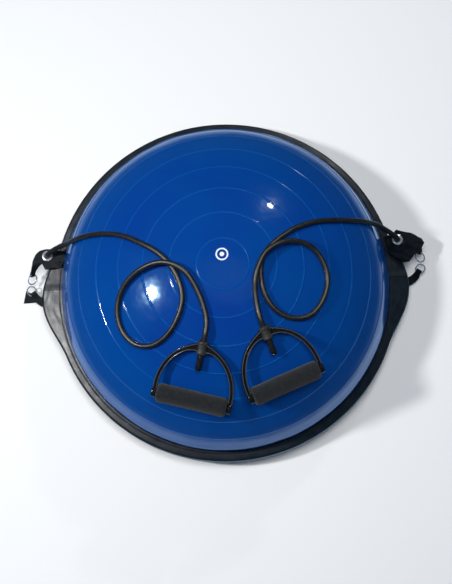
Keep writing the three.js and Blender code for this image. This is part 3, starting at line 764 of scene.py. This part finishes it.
# ---- rim band with its ears ----
BAND_STEPS = 230
LEG_OUTER = 0.2845
LEG_DEPTH = 0.016
SEAM_Y = 0.008               # where the band's two halves meet, on both ears
SEAM_GAP = 0.0009            # between either half and the seam, in radians
FLANGE_START = 0.0018        # the flange begins this far out from the band's inner edge
FLANGE_POINTS = 30
FLANGE_SLOPE = 0.115
FLANGE_SAG = 0.06
GROOVE_AT = 0.0055           # a shallow groove runs round the flange, this far out
GROOVE_WIDTH = 0.0008
GROOVE_DEPTH = 0.0006
CREASE_PITCH = 0.011
SHOULDER = 0.005
WALL_FOOT = RIM_BOTTOM + 0.0035
HEM_LENGTH = 0.006           # the rear half's end laps over the front half's
HEM_RISE = 0.0008


def ear_share(angle):
    """0 away from the ears, rising to 1 at the middle of each."""
    to_right = math.atan2(math.sin(angle), math.cos(angle)) - EAR_SHIFT
    to_left = math.atan2(math.sin(math.pi - angle), math.cos(math.pi - angle)) - EAR_SHIFT
    nearest = min(abs(to_right), abs(to_left))
    if nearest > EAR_HALF_ANGLE:
        return 0.0
    return 0.5 * (1 + math.cos(math.pi * nearest / EAR_HALF_ANGLE))


def creases(angle, across, share):
    """Soft drapery in the flange: long waves that run with the rim, strongest on the ears."""
    drift = noise.noise(Vector((6 * math.cos(angle), 6 * math.sin(angle), 0)))
    wave = math.sin(2 * math.pi * across / CREASE_PITCH + 7 * drift)
    rough = noise.noise(Vector((16 * math.cos(angle), 16 * math.sin(angle), 60 * across)))
    fade = min(1.0, across / 0.004)
    return fade * ((0.00006 + 0.00008 * share) * wave + (0.0002 + 0.00035 * share) * rough)


def band_section(angle, hem):
    """The band's closed section at one angle, as (radius, height) from the inner leg over the top."""
    share = ear_share(angle)
    outer = RIM_RADIUS + EAR_REACH * share
    points = [
        (BAND_INNER, RIM_TOP - LEG_DEPTH), (BAND_INNER, RIM_TOP - 0.0022),
        (BAND_INNER + 0.0003, RIM_TOP - 0.0010), (BAND_INNER + 0.0010, RIM_TOP - 0.0003),
    ]
    flange = outer - SHOULDER - BAND_INNER - FLANGE_START
    for k in range(FLANGE_POINTS):
        across = FLANGE_START + flange * k / (FLANGE_POINTS - 1)
        drop = FLANGE_SLOPE * across + FLANGE_SAG * across * across / (outer - BAND_INNER)
        groove = GROOVE_DEPTH * math.exp(-(((across - GROOVE_AT) / GROOVE_WIDTH) ** 2))
        height = RIM_TOP - drop - groove + creases(angle, across, share) + hem
        points.append((BAND_INNER + across, height))
    edge = points[-1][1]
    for k in range(1, 9):
        a = (math.pi / 2) * k / 8
        fall = SHOULDER * (1 - math.cos(a)) + 0.0006 * k / 8
        points.append((outer - SHOULDER * (1 - math.sin(a)), edge - fall))
    sway = 0.0004 * noise.noise(Vector((14 * math.cos(angle), 14 * math.sin(angle), 3.0)))
    wall_top = points[-1][1]
    for k in range(1, 7):
        points.append((outer + sway * k / 6, wall_top + (WALL_FOOT - wall_top) * k / 6))
    centre = outer + sway - BAND_WALL / 2
    for k in range(1, 8):
        a = math.pi * k / 8
        radius = centre + (BAND_WALL / 2 + 0.0005) * math.cos(a)
        points.append((radius, RIM_BOTTOM + 0.0025 - 0.0025 * math.sin(a)))
    inside = outer - BAND_WALL
    points += [
        (inside, WALL_FOOT), (inside, edge - 0.006), (inside - 0.002, edge - BAND_WALL),
        (LEG_OUTER + 0.001, RIM_TOP - BAND_WALL - 0.0008), (LEG_OUTER, RIM_TOP - BAND_WALL - 0.0018),
        (LEG_OUTER, RIM_TOP - LEG_DEPTH),
    ]
    return points


def add_band(name, start, end, laps):
    """One half of the band, from one seam to the other."""
    rings = []
    for i in range(BAND_STEPS + 1):
        angle = start + SEAM_GAP + (end - start - 2 * SEAM_GAP) * i / BAND_STEPS
        from_end = min(angle - start, end - angle) * RIM_RADIUS
        hem = HEM_RISE * max(0.0, min(1.0, 3 * (1 - from_end / HEM_LENGTH))) if laps else 0.0
        section = band_section(angle, hem)
        rings.append([(r * math.cos(angle), r * math.sin(angle), z) for r, z in section])
    finish_piece(loft(f"{name}_cover", rings, sharp_degrees=50), "rim_band", "root", name)


seam_angle = math.asin(SEAM_Y / (RIM_RADIUS + EAR_REACH))
add_band("rim_band_rear", seam_angle, math.pi - seam_angle, laps=True)
add_band("rim_band_front", math.pi - seam_angle, 2 * math.pi + seam_angle, laps=False)


# ---- webbing ----
def webbing_frames(stations):
    """The direction along, across and normal to the webbing at each station."""
    frames = []
    for i, (place, across, _) in enumerate(stations):
        ahead, behind = stations[min(i + 1, len(stations) - 1)][0], stations[max(i - 1, 0)][0]
        along = (ahead - behind).normalized()
        side = (across - across.dot(along) * along).normalized()
        frames.append((along, side, along.cross(side)))
    return frames


RETURNED = 3                 # stations that the folded end runs back beside
FOLD_STEPS = 8


def folded_path(rows, upward):
    """The webbing's stations, its turn round the wire, and its way back beside itself."""
    stations = [(Vector(metres(row[:3])), Vector(row[3:6]), row[6] / 1000) for row in rows]
    frames = webbing_frames(stations)
    along, across, normal = frames[-1]
    face = math.copysign(1, frames[0][2].z) * upward
    centre = stations[-1][0] + face * FOLD * normal
    path = list(stations)
    for i in range(1, FOLD_STEPS + 1):
        a = math.pi * i / FOLD_STEPS
        place = centre - face * FOLD * math.cos(a) * normal + FOLD * math.sin(a) * along
        path.append((place, across, stations[-1][2]))
    for i in range(len(rows) - 2, len(rows) - 2 - RETURNED, -1):
        offset = face * (STRAP_THICKNESS + 0.0006) * frames[i][2]
        path.append((stations[i][0] + offset, stations[i][1], stations[i][2] - 0.001))
    return path


def smoothed(path, samples):
    """The same stations, evenly spaced along a smooth line."""
    places = centripetal([place for place, _, _ in path], samples)
    knots = [0.0]
    for (a, _, _), (b, _, _) in zip(path, path[1:]):
        knots.append(knots[-1] + (b - a).length)
    fine = []
    for k, place in enumerate(places):
        at = knots[-1] * k / (samples - 1)
        across = Vector([np.interp(at, knots, [side[c] for _, side, _ in path]) for c in range(3)])
        width = float(np.interp(at, knots, [w for _, _, w in path]))
        fine.append((place, across, width))
    return fine


def webbing_ring(place, side, normal, width, columns):
    """One cross-section of flat webbing, with rounded, slightly thicker selvedges."""
    ring = []
    for face in (1, -1):
        for k in range(columns):
            t = face * (1 - 2 * (k + 0.5) / columns)
            thick = 1.12 if abs(t) > 0.8 else 1.0
            thick *= math.sqrt(max(0.05, 1 - max(0.0, abs(t) - 0.9) / 0.06))
            ring.append(place + side * t * width / 2 + face * thick * STRAP_THICKNESS / 2 * normal)
    return ring


def ribbon(name, path):
    """Webbing of changing width along a path of stations."""
    rings = []
    for (place, _, width), (_, side, normal) in zip(path, webbing_frames(path)):
        rings.append(webbing_ring(place, side, normal, width, 14))
    return loft(name, rings, sharp_degrees=70)


def punched(piece, centre, radius):
    """A round hole cut through a piece along Z."""
    depth = 0.01
    profile = [(0, -depth), (radius, -depth), (radius, depth), (0, depth)]
    tool = turned("punch", profile, 32)
    tool.location = centre
    cut = piece.modifiers.new("hole", "BOOLEAN")
    cut.operation = "DIFFERENCE"
    cut.solver = "MANIFOLD"
    cut.object = tool
    bpy.context.view_layer.update()
    whole = piece.evaluated_get(bpy.context.evaluated_depsgraph_get())
    mesh = bpy.data.meshes.new_from_object(whole)
    piece.modifiers.clear()
    piece.data = mesh
    bpy.data.objects.remove(tool)
    return piece


def stitches(name, path, lines, first, last):
    """Short thread stitches along the webbing's outer face, in lines at the given places across it."""
    length, pitch, thick = 0.0024, 0.0034, 0.0003
    frames = webbing_frames(path)
    vertices, faces = [], []
    travelled = 0.0
    due = 0.0
    for i in range(int(first * len(path)), int(last * len(path))):
        travelled += (path[i][0] - path[i - 1][0]).length if i else 0.0
        if travelled < due:
            continue
        due = travelled + pitch
        along, side, normal = frames[i]
        for line in lines:
            centre = path[i][0] + side * line * path[i][2] / 2 + normal * (STRAP_THICKNESS / 2 + 0.0001)
            base = len(vertices)
            for t, girth in ((-1, 0.25), (-0.6, 0.9), (0, 1), (0.6, 0.9), (1, 0.25)):
                for k in range(6):
                    a = 2 * math.pi * k / 6
                    spoke = side * math.cos(a) + normal * math.sin(a)
                    vertices.append(centre + along * t * length / 2 + spoke * thick * girth)
            for j in range(4):
                for k in range(6):
                    n = (k + 1) % 6
                    row, above = base + 6 * j, base + 6 * (j + 1)
                    faces.append((row + k, row + n, above + n, above + k))
            faces.append(tuple(base + k for k in reversed(range(6))))
            faces.append(tuple(base + 24 + k for k in range(6)))
    return mesh_object(name, vertices, faces)


def add_webbing(side):
    strap_path = smoothed(folded_path(ROUTES[side]["strap"], -1), 110)
    strap = ribbon(f"{side}_strap_webbing", strap_path)
    strap = punched(strap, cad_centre(f"{side}_eyelet"), STRAP_HOLE)
    finish_piece(strap, "webbing", "root", f"{side}_strap")

    tab_path = smoothed(folded_path(ROUTES[side]["tab"], 1), 90)
    tab = ribbon(f"{side}_tab_webbing", tab_path)
    tab = punched(tab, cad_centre(f"{side}_anchor_screw"), TAB_HOLE)
    finish_piece(tab, "webbing", "root", f"{side}_anchor_tab")

    thread = stitches(f"{side}_strap_stitching", strap_path, (-0.8, 0.8), 0.02, 0.5)
    finish_piece(thread, "webbing", "root", paint=THREAD_PAINT)


# Wide patches of webbing, as two edges (x, y pairs in millimetres): round each eyelet, and the left
# tab's loose end.
PATCHES = {
    "left": [
        ((-277, 74), (-277.6, 61)), ((-285, 76.5), (-284.7, 46)), ((-302, 80.5), (-300, 44)),
        ((-312, 80.5), (-313, 43)), ((-320, 78), (-319, 55)), ((-322.5, 74), (-321.5, 62)),
    ],
    "right": [
        ((286, 78), (288, 48)), ((294, 81.5), (300, 39)), ((302.5, 90.8), (311, 30)),
        ((324, 84), (322, 31)), ((338, 78.5), (331, 43)), ((347, 74.5), (339, 47.5)),
        ((352, 65.5), (344, 53)),
    ],
}
TAB_END = [
    ((-324, 1), (-324, -4.5)), ((-333, 5), (-333, -5.2)), ((-342, 9.8), (-343, -6)),
    ((-356, 16.5), (-361, -6.8)),
]
PATCH_HEIGHT = 0.0475
PATCH_HOLE = 0.0085
TAB_END_HEIGHT = 0.0021
TAB_END_CREASE = 0.0003
STRAP_HOLE = 0.0066
TAB_HOLE = 0.0024
CREASE = 0.0034
PRESSED = 0.010              # the eyelet's flange holds the webbing flat out to this radius
LOOSE = 0.024                # and it creases freely beyond this one
DROOP_FROM = 0.328           # past this distance from the middle, a patch droops over the ear's edge
DROOP = 0.25


def patch(name, edges, height, crease, eyelet=None):
    """A flat piece of webbing between two edges, softly creased except where an eyelet holds it flat."""
    edges = [[Vector((*metres(corner), height)) for corner in pair] for pair in edges]
    rings = []
    for (upper, lower), (next_upper, next_lower) in zip(edges, edges[1:]):
        for k in range(12):
            a = upper.lerp(next_upper, k / 12)
            b = lower.lerp(next_lower, k / 12)
            rings.append(webbing_ring((a + b) / 2, (a - b).normalized(), UP, (a - b).length, 40))
    piece = loft(name, rings, sharp_degrees=70)
    for vertex in piece.data.vertices:
        x, y, _ = vertex.co
        folds = noise.noise(Vector((30 * x, 100 * (y + 0.25 * abs(x)), 2.0)))
        folds += 0.3 * noise.noise(Vector((160 * x, 160 * y, 5.0)))
        if eyelet:
            away = math.hypot(x - eyelet.x, y - eyelet.y)
            folds *= min(1.0, max(0.0, (away - PRESSED) / (LOOSE - PRESSED)))
        vertex.co.z += crease * folds
    return piece


def add_patch(side):
    """The strap's doubled end round the eyelet, drooping a little where it overhangs the ear."""
    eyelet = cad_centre(f"{side}_eyelet")
    piece = patch(f"{side}_eyelet_patch", PATCHES[side], PATCH_HEIGHT, CREASE, eyelet)
    for vertex in piece.data.vertices:
        vertex.co.z -= DROOP * max(0.0, abs(vertex.co.x) - DROOP_FROM)
    finish_piece(punched(piece, eyelet, PATCH_HOLE), "webbing", "root")


# ---- eyelets and rings ----
GATE_START = math.radians(-28)
GATE_END = math.radians(38)
GATE_HINGE_PLAY = 0.06
GATE_TIP_PLAY = 0.14
WIRE_SIDES = 12
D_HALF = 0.0075              # half the length of the D-ring's bar, and its arch's radius
D_CORNER = 0.0015
D_LEG = 0.0074               # from the bar to where the arch begins


def add_eyelet(side):
    """A two-part rolled eyelet: a flange and a washer pressed together through the webbing."""
    half = [
        (0.0065, 0.0011), (0.0098, 0.0011), (0.0101, 0.0014), (0.0099, 0.0019), (0.0088, 0.0024),
        (0.0072, 0.0027), (0.0060, 0.0027), (0.0052, 0.0023), (0.0050, 0.0016),
    ]
    profile = half + [(r, -z) for r, z in reversed(half)]
    ring = turned(f"{side}_eyelet_ring", profile, 48, sharp_degrees=60)
    ring.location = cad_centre(f"{side}_eyelet")
    finish_piece(ring, "chrome_wire", "root", f"{side}_eyelet")


def wire(name, points, radius, up_hint, looped=False):
    """Round wire along points, closed on itself when looped."""
    section = circle(radius, WIRE_SIDES)
    if looped:
        rings = swept_rings([points[-1], *points, points[0]], section, up_hint)[1:-1]
        return loft(name, rings, looped=True)
    return loft(name, swept_rings(points, section, up_hint))


def add_snap(side):
    """The snap ring, and the gate that closes its open side."""
    fold = joints[f"{side}_snap_swing"]
    out = -Vector(joints[f"{side}_gate_open"]["axis"])
    across = Vector(fold["axis"])
    away = out.cross(across)
    centre = Vector(fold["pos_m"]) + (SNAP_RADIUS - FOLD_SLACK) * away

    def arc(start, end, steps):
        angles = [start + (end - start) * k / steps for k in range(steps + 1)]
        return [centre + SNAP_RADIUS * (math.cos(a) * across + math.sin(a) * away) for a in angles]

    body = arc(GATE_END + GATE_HINGE_PLAY, GATE_START + 2 * math.pi - GATE_TIP_PLAY, 72)
    ring = wire(f"{side}_snap_ring_wire", body, WIRE, out)
    finish_piece(ring, "chrome_wire", f"{side}_snap", f"{side}_snap_ring")
    gate = wire(f"{side}_snap_gate_wire", arc(GATE_START, GATE_END, 16), 0.8 * WIRE, out)
    finish_piece(gate, "chrome_wire", f"{side}_gate", f"{side}_snap_gate")


def add_d_ring(side):
    """A bent wire D: a straight bar in the tab's fold, and an arch that rises beside the snap ring."""
    swing = joints[f"{side}_d_ring_swing"]
    bar = Vector(swing["pos_m"])
    across = Vector(swing["axis"])
    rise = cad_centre(f"{side}_d_ring") - bar
    rise = (rise - rise.dot(across) * across).normalized()
    outline = [(-D_HALF + D_CORNER, 0), (0, 0), (D_HALF - D_CORNER, 0), (D_HALF - 0.0004, 0.0004)]
    outline.append((D_HALF, D_CORNER))
    for k in range(17):
        a = math.pi * k / 16
        outline.append((D_HALF * math.cos(a), D_LEG + D_HALF * math.sin(a)))
    outline += [(-D_HALF, D_CORNER), (-D_HALF + 0.0004, 0.0004)]
    points = [bar + x * across + y * rise for x, y in outline]
    ring = wire(f"{side}_d_ring_wire", points, WIRE, across.cross(rise), looped=True)
    finish_piece(ring, "chrome_wire", f"{side}_d_ring", f"{side}_d_ring")


left_tab_end = patch("left_tab_end", TAB_END, TAB_END_HEIGHT, TAB_END_CREASE)
finish_piece(left_tab_end, "webbing", "root")
for side in SIDES:
    add_webbing(side)
    add_patch(side)
    add_eyelet(side)
    add_snap(side)
    add_d_ring(side)


# ---- handles ----
BOW_STEPS = 120
LEG_SHARE = 0.06             # the straight leg at each end, as a share of the bow's steps
GUSSET = 0.0075              # how much the strap widens at the hub
GUSSET_SPREAD = 0.24
HUB_BORE = TUBE_RADIUS + 0.0003
TAIL_BORE = 0.0026
UPRIGHT_TO_Y = Matrix.Rotation(-math.pi / 2, 4, "X")


def bow_station(share):
    """Place, outward direction and strap width of the bow, from 0 at its right end to 1 at its left."""
    past = max(LEG_SHARE - share, share - (1 - LEG_SHARE))
    if past > 0:
        side = 1 if share < 0.5 else -1
        y = CROWN_DROP + past / LEG_SHARE * (GRIP_OFFSET - CROWN_DROP)
        return Vector((side * BOW_HALF, y, 0)), Vector((side, 0, 0)), BOW_STRAP
    a = math.pi * (share - LEG_SHARE) / (1 - 2 * LEG_SHARE)
    place = Vector((BOW_HALF * math.cos(a), CROWN_DROP - CROWN_DROP * math.sin(a), 0))
    outward = Vector((math.cos(a) / BOW_HALF, -math.sin(a) / CROWN_DROP, 0)).normalized()
    gusset = GUSSET * math.exp(-(((a - math.pi / 2) / GUSSET_SPREAD) ** 2))
    return place, outward, BOW_STRAP + gusset


def bow_section(width):
    """Round the strap: raised edges with a shallow channel between them on both faces."""
    w, d = width / 2, BOW_DEPTH / 2
    quarter = [
        (w, d - 0.0014), (w - 0.0003, d - 0.0004), (w - 0.0008, d), (w - 0.0014, d - 0.0003),
        (w - 0.0019, d - 0.0024), (0, d - 0.0026),
    ]
    top = quarter + [(-x, y) for x, y in reversed(quarter[:-1])]
    return top + [(-x, -y) for x, y in top]


def add_bow(side, matrix):
    """The bow's strap, with its raised edges marked for a paler shade that paints their highlight."""
    rings = []
    for i in range(BOW_STEPS + 1):
        place, outward, width = bow_station(i / BOW_STEPS)
        rings.append([place + outward * n + Vector((0, 0, z)) for n, z in bow_section(width)])
    bow = loft(f"{side}_bow_strap", rings, sharp_degrees=35)
    edge = bow.data.attributes.new("edge", "FLOAT", "POINT")
    for vertex in bow.data.vertices:
        edge.data[vertex.index].value = 1.0 if abs(vertex.co.z) > BOW_DEPTH / 2 - 0.0007 else 0.0
    bow.data.transform(matrix)
    finish_piece(bow, "handle_plastic", f"{side}_handle", f"{side}_handle_bow")


def add_hub(side, matrix):
    """The sleeve at the bow's crown that the tube runs through, with a collar at each end."""
    hub = turned(f"{side}_handle_hub", [
        (HUB_BORE, -HUB_HALF), (HUB_BORE + 0.0008, -HUB_HALF - 0.0004), (0.0074, -HUB_HALF),
        (0.0089, -HUB_HALF + 0.0010), (0.0092, -HUB_HALF + 0.0026), (0.0089, -HUB_HALF + 0.0042),
        (0.0079, -HUB_HALF + 0.0050), (0.0077, 0.0), (0.0078, HUB_HALF - 0.0044),
        (0.0083, HUB_HALF - 0.0034), (0.0082, HUB_HALF - 0.0012), (0.0072, HUB_HALF), (HUB_BORE, HUB_HALF),
    ], 40)
    hub.data.transform(matrix @ UPRIGHT_TO_Y)
    finish_piece(hub, "handle_plastic", f"{side}_handle", paint=HUB_PAINT)


def add_bosses(side, matrix):
    """The round ends of the bow, outside the grip."""
    for label, end in (("right", 1), ("left", -1)):
        boss = turned(f"{side}_bow_{label}_boss", [
            (0, -0.0115), (0.0046, -0.0115), (0.0050, -0.0110), (0.0050, -0.0036), (0.0085, -0.0036),
            (0.0090, -0.0030), (0.0090, 0.0026), (0.0084, 0.0036), (0.0066, 0.0040), (0.0062, 0.0034),
            (0, 0.0034),
        ], 40)
        turn = Matrix.Rotation(end * math.pi / 2, 4, "Y")
        boss.data.transform(matrix @ Matrix.Translation((end * BOW_HALF, GRIP_OFFSET, 0)) @ turn)
        finish_piece(boss, "handle_plastic", f"{side}_handle")


def add_tail(side, matrix):
    """The tube's end past the hub, swollen by its plug, and the plug's cap."""
    swelling = [
        (0.0, 0.0008), (0.0, 0.012), (0.0001, 0.014), (0.0009, 0.0165), (0.0010, 0.0190),
        (0.0003, 0.0215), (0.0004, 0.0240), (0.0010, 0.0270), (0.0010, 0.0310),
        (0.0004, TAIL_END - 0.0012), (-0.0004, TAIL_END),
    ]
    profile = [(TUBE_RADIUS + swell, z) for swell, z in swelling]
    profile = [(TAIL_BORE, 0.0008), *profile, (TAIL_BORE, TAIL_END)]
    tail = turned(f"{side}_tube_tail_skin", profile, 24)
    tail.data.transform(matrix @ UPRIGHT_TO_Y)
    finish_piece(tail, "tube_rubber", f"{side}_handle", f"{side}_tube_tail", paint=TAIL_PAINT)

    plug = turned(f"{side}_tail_plug_moulding", [
        (0, 0.024), (0.0016, 0.024), (0.0023, 0.027), (0.0023, TAIL_END + 0.0002),
        (0.0044, TAIL_END + 0.0002), (0.0047, TAIL_END + 0.0008), (0.0044, TAIL_END + 0.0018),
        (0.0030, TAIL_END + 0.0023), (0, TAIL_END + 0.0024),
    ], 24)
    plug.data.transform(matrix @ UPRIGHT_TO_Y)
    gloss = PAINTS["handle_plastic"]
    finish_piece(plug, "moulded_rubber", f"{side}_handle", f"{side}_tail_plug", paint=gloss)


def add_foam(side, matrix):
    """The foam sleeve: soft rounded ends, slightly uneven all over."""
    bore, round_off = CORE_RADIUS + 0.0006, 0.0055
    profile = [(bore, -GRIP_HALF + 0.0008)]
    for end in (-1, 1):
        for k in range(9):
            a = (math.pi / 2) * ((k - 8) / 8 if end < 0 else k / 8)
            profile.append((
                FOAM_RADIUS - round_off + round_off * math.cos(a),
                end * (GRIP_HALF - round_off) + round_off * math.sin(a),
            ))
        if end < 0:
            profile += [(FOAM_RADIUS, y) for y in np.arange(-0.048, 0.0485, 0.004)]
    profile.append((bore, GRIP_HALF - 0.0008))
    foam = turned(f"{side}_foam_sleeve", profile, 56, sharp_degrees=60)
    seed = Vector((3.0, 1.0, 0.0)) if side == "left" else Vector((0.0, 7.0, 2.0))
    for vertex in foam.data.vertices:
        x, y, z = vertex.co
        radius = math.hypot(x, y)
        if radius > bore + 0.001:
            swell = 0.00045 * noise.noise(vertex.co * 60 + seed)
            swell += 0.00025 * noise.noise(vertex.co * 220 + seed)
            vertex.co = Vector((x * (1 + swell / radius), y * (1 + swell / radius), z))
    turn = Matrix.Rotation(math.pi / 2, 4, "Y")
    foam.data.transform(matrix @ Matrix.Translation((0, GRIP_OFFSET, 0)) @ turn)
    finish_piece(foam, "grip_foam", f"{side}_grip", f"{side}_foam_grip")


for side in SIDES:
    handle_frame = handle_matrix(side)
    add_bow(side, handle_frame)
    add_hub(side, handle_frame)
    add_bosses(side, handle_frame)
    add_tail(side, handle_frame)
    add_foam(side, handle_frame)


# ---- floor and light ----
ROOM_COLOUR = (0.016, 0.046, 0.085, 1)
GROUND_COLOUR = (0.42, 0.59, 0.84, 1)
GROUND_FADE = -0.50          # heights of the view direction between which the room turns into ground
GROUND_FULL = -0.74
FLOOR_REACH = 6.0


def add_floor():
    corners = [(FLOOR_REACH * x, FLOOR_REACH * y, 0) for x, y in ((-1, -1), (1, -1), (1, 1), (-1, 1))]
    floor = mesh_object("floor", corners, [(0, 1, 2, 3)])
    paint = Paint("pale_floor", (0.93, 0.93, 0.93), 0.8)
    paint.vary_roughness(paint.noise(3.0, 3.0), 0.75, 0.85)
    floor.data.materials.append(paint.material)
    floor.visible_glossy = False


def add_light(name, place, aim, size, power, reflected=True):
    """A round area light; the glossy skin mirrors it only where it is reflected."""
    data = bpy.data.lights.new(name, "AREA")
    data.shape = "DISK"
    data.size = size
    data.energy = power
    light = bpy.data.objects.new(name, data)
    light.location = place
    light.rotation_euler = (Vector(aim) - Vector(place)).to_track_quat("-Z", "Y").to_euler()
    light.visible_glossy = reflected
    scene.collection.objects.link(light)


def add_surroundings():
    """A dim room above a pale blue ground, which the glossy skin mirrors near its edge."""
    world = bpy.data.worlds.new("studio")
    world.use_nodes = True
    tree = world.node_tree
    direction = tree.nodes.new("ShaderNodeTexCoord")
    height = tree.nodes.new("ShaderNodeSeparateXYZ")
    tree.links.new(direction.outputs["Generated"], height.inputs["Vector"])
    lowness = tree.nodes.new("ShaderNodeMapRange")
    lowness.inputs["From Min"].default_value = GROUND_FADE
    lowness.inputs["From Max"].default_value = GROUND_FULL
    tree.links.new(height.outputs["Z"], lowness.inputs["Value"])
    mix = tree.nodes.new("ShaderNodeMix")
    mix.data_type = "RGBA"
    tree.links.new(lowness.outputs["Result"], mix.inputs[0])
    mix.inputs[6].default_value = ROOM_COLOUR
    mix.inputs[7].default_value = GROUND_COLOUR
    tree.links.new(mix.outputs[2], tree.nodes["Background"].inputs["Color"])
    scene.world = world


def add_lights():
    add_light("key", (-1.34, -0.02, 1.75), (0, 0, 0.1), 0.21, 26.0)
    add_light("back_fill", (0.83, 1.46, 1.43), (0, 0, 0.1), 0.14, 4.0)
    add_light("overhead", (0.1, 0.12, 2.6), (0, 0, 0), 1.2, 36.0, reflected=False)
    add_surroundings()
    scene.view_settings.view_transform = "Standard"


add_floor()
add_lights()
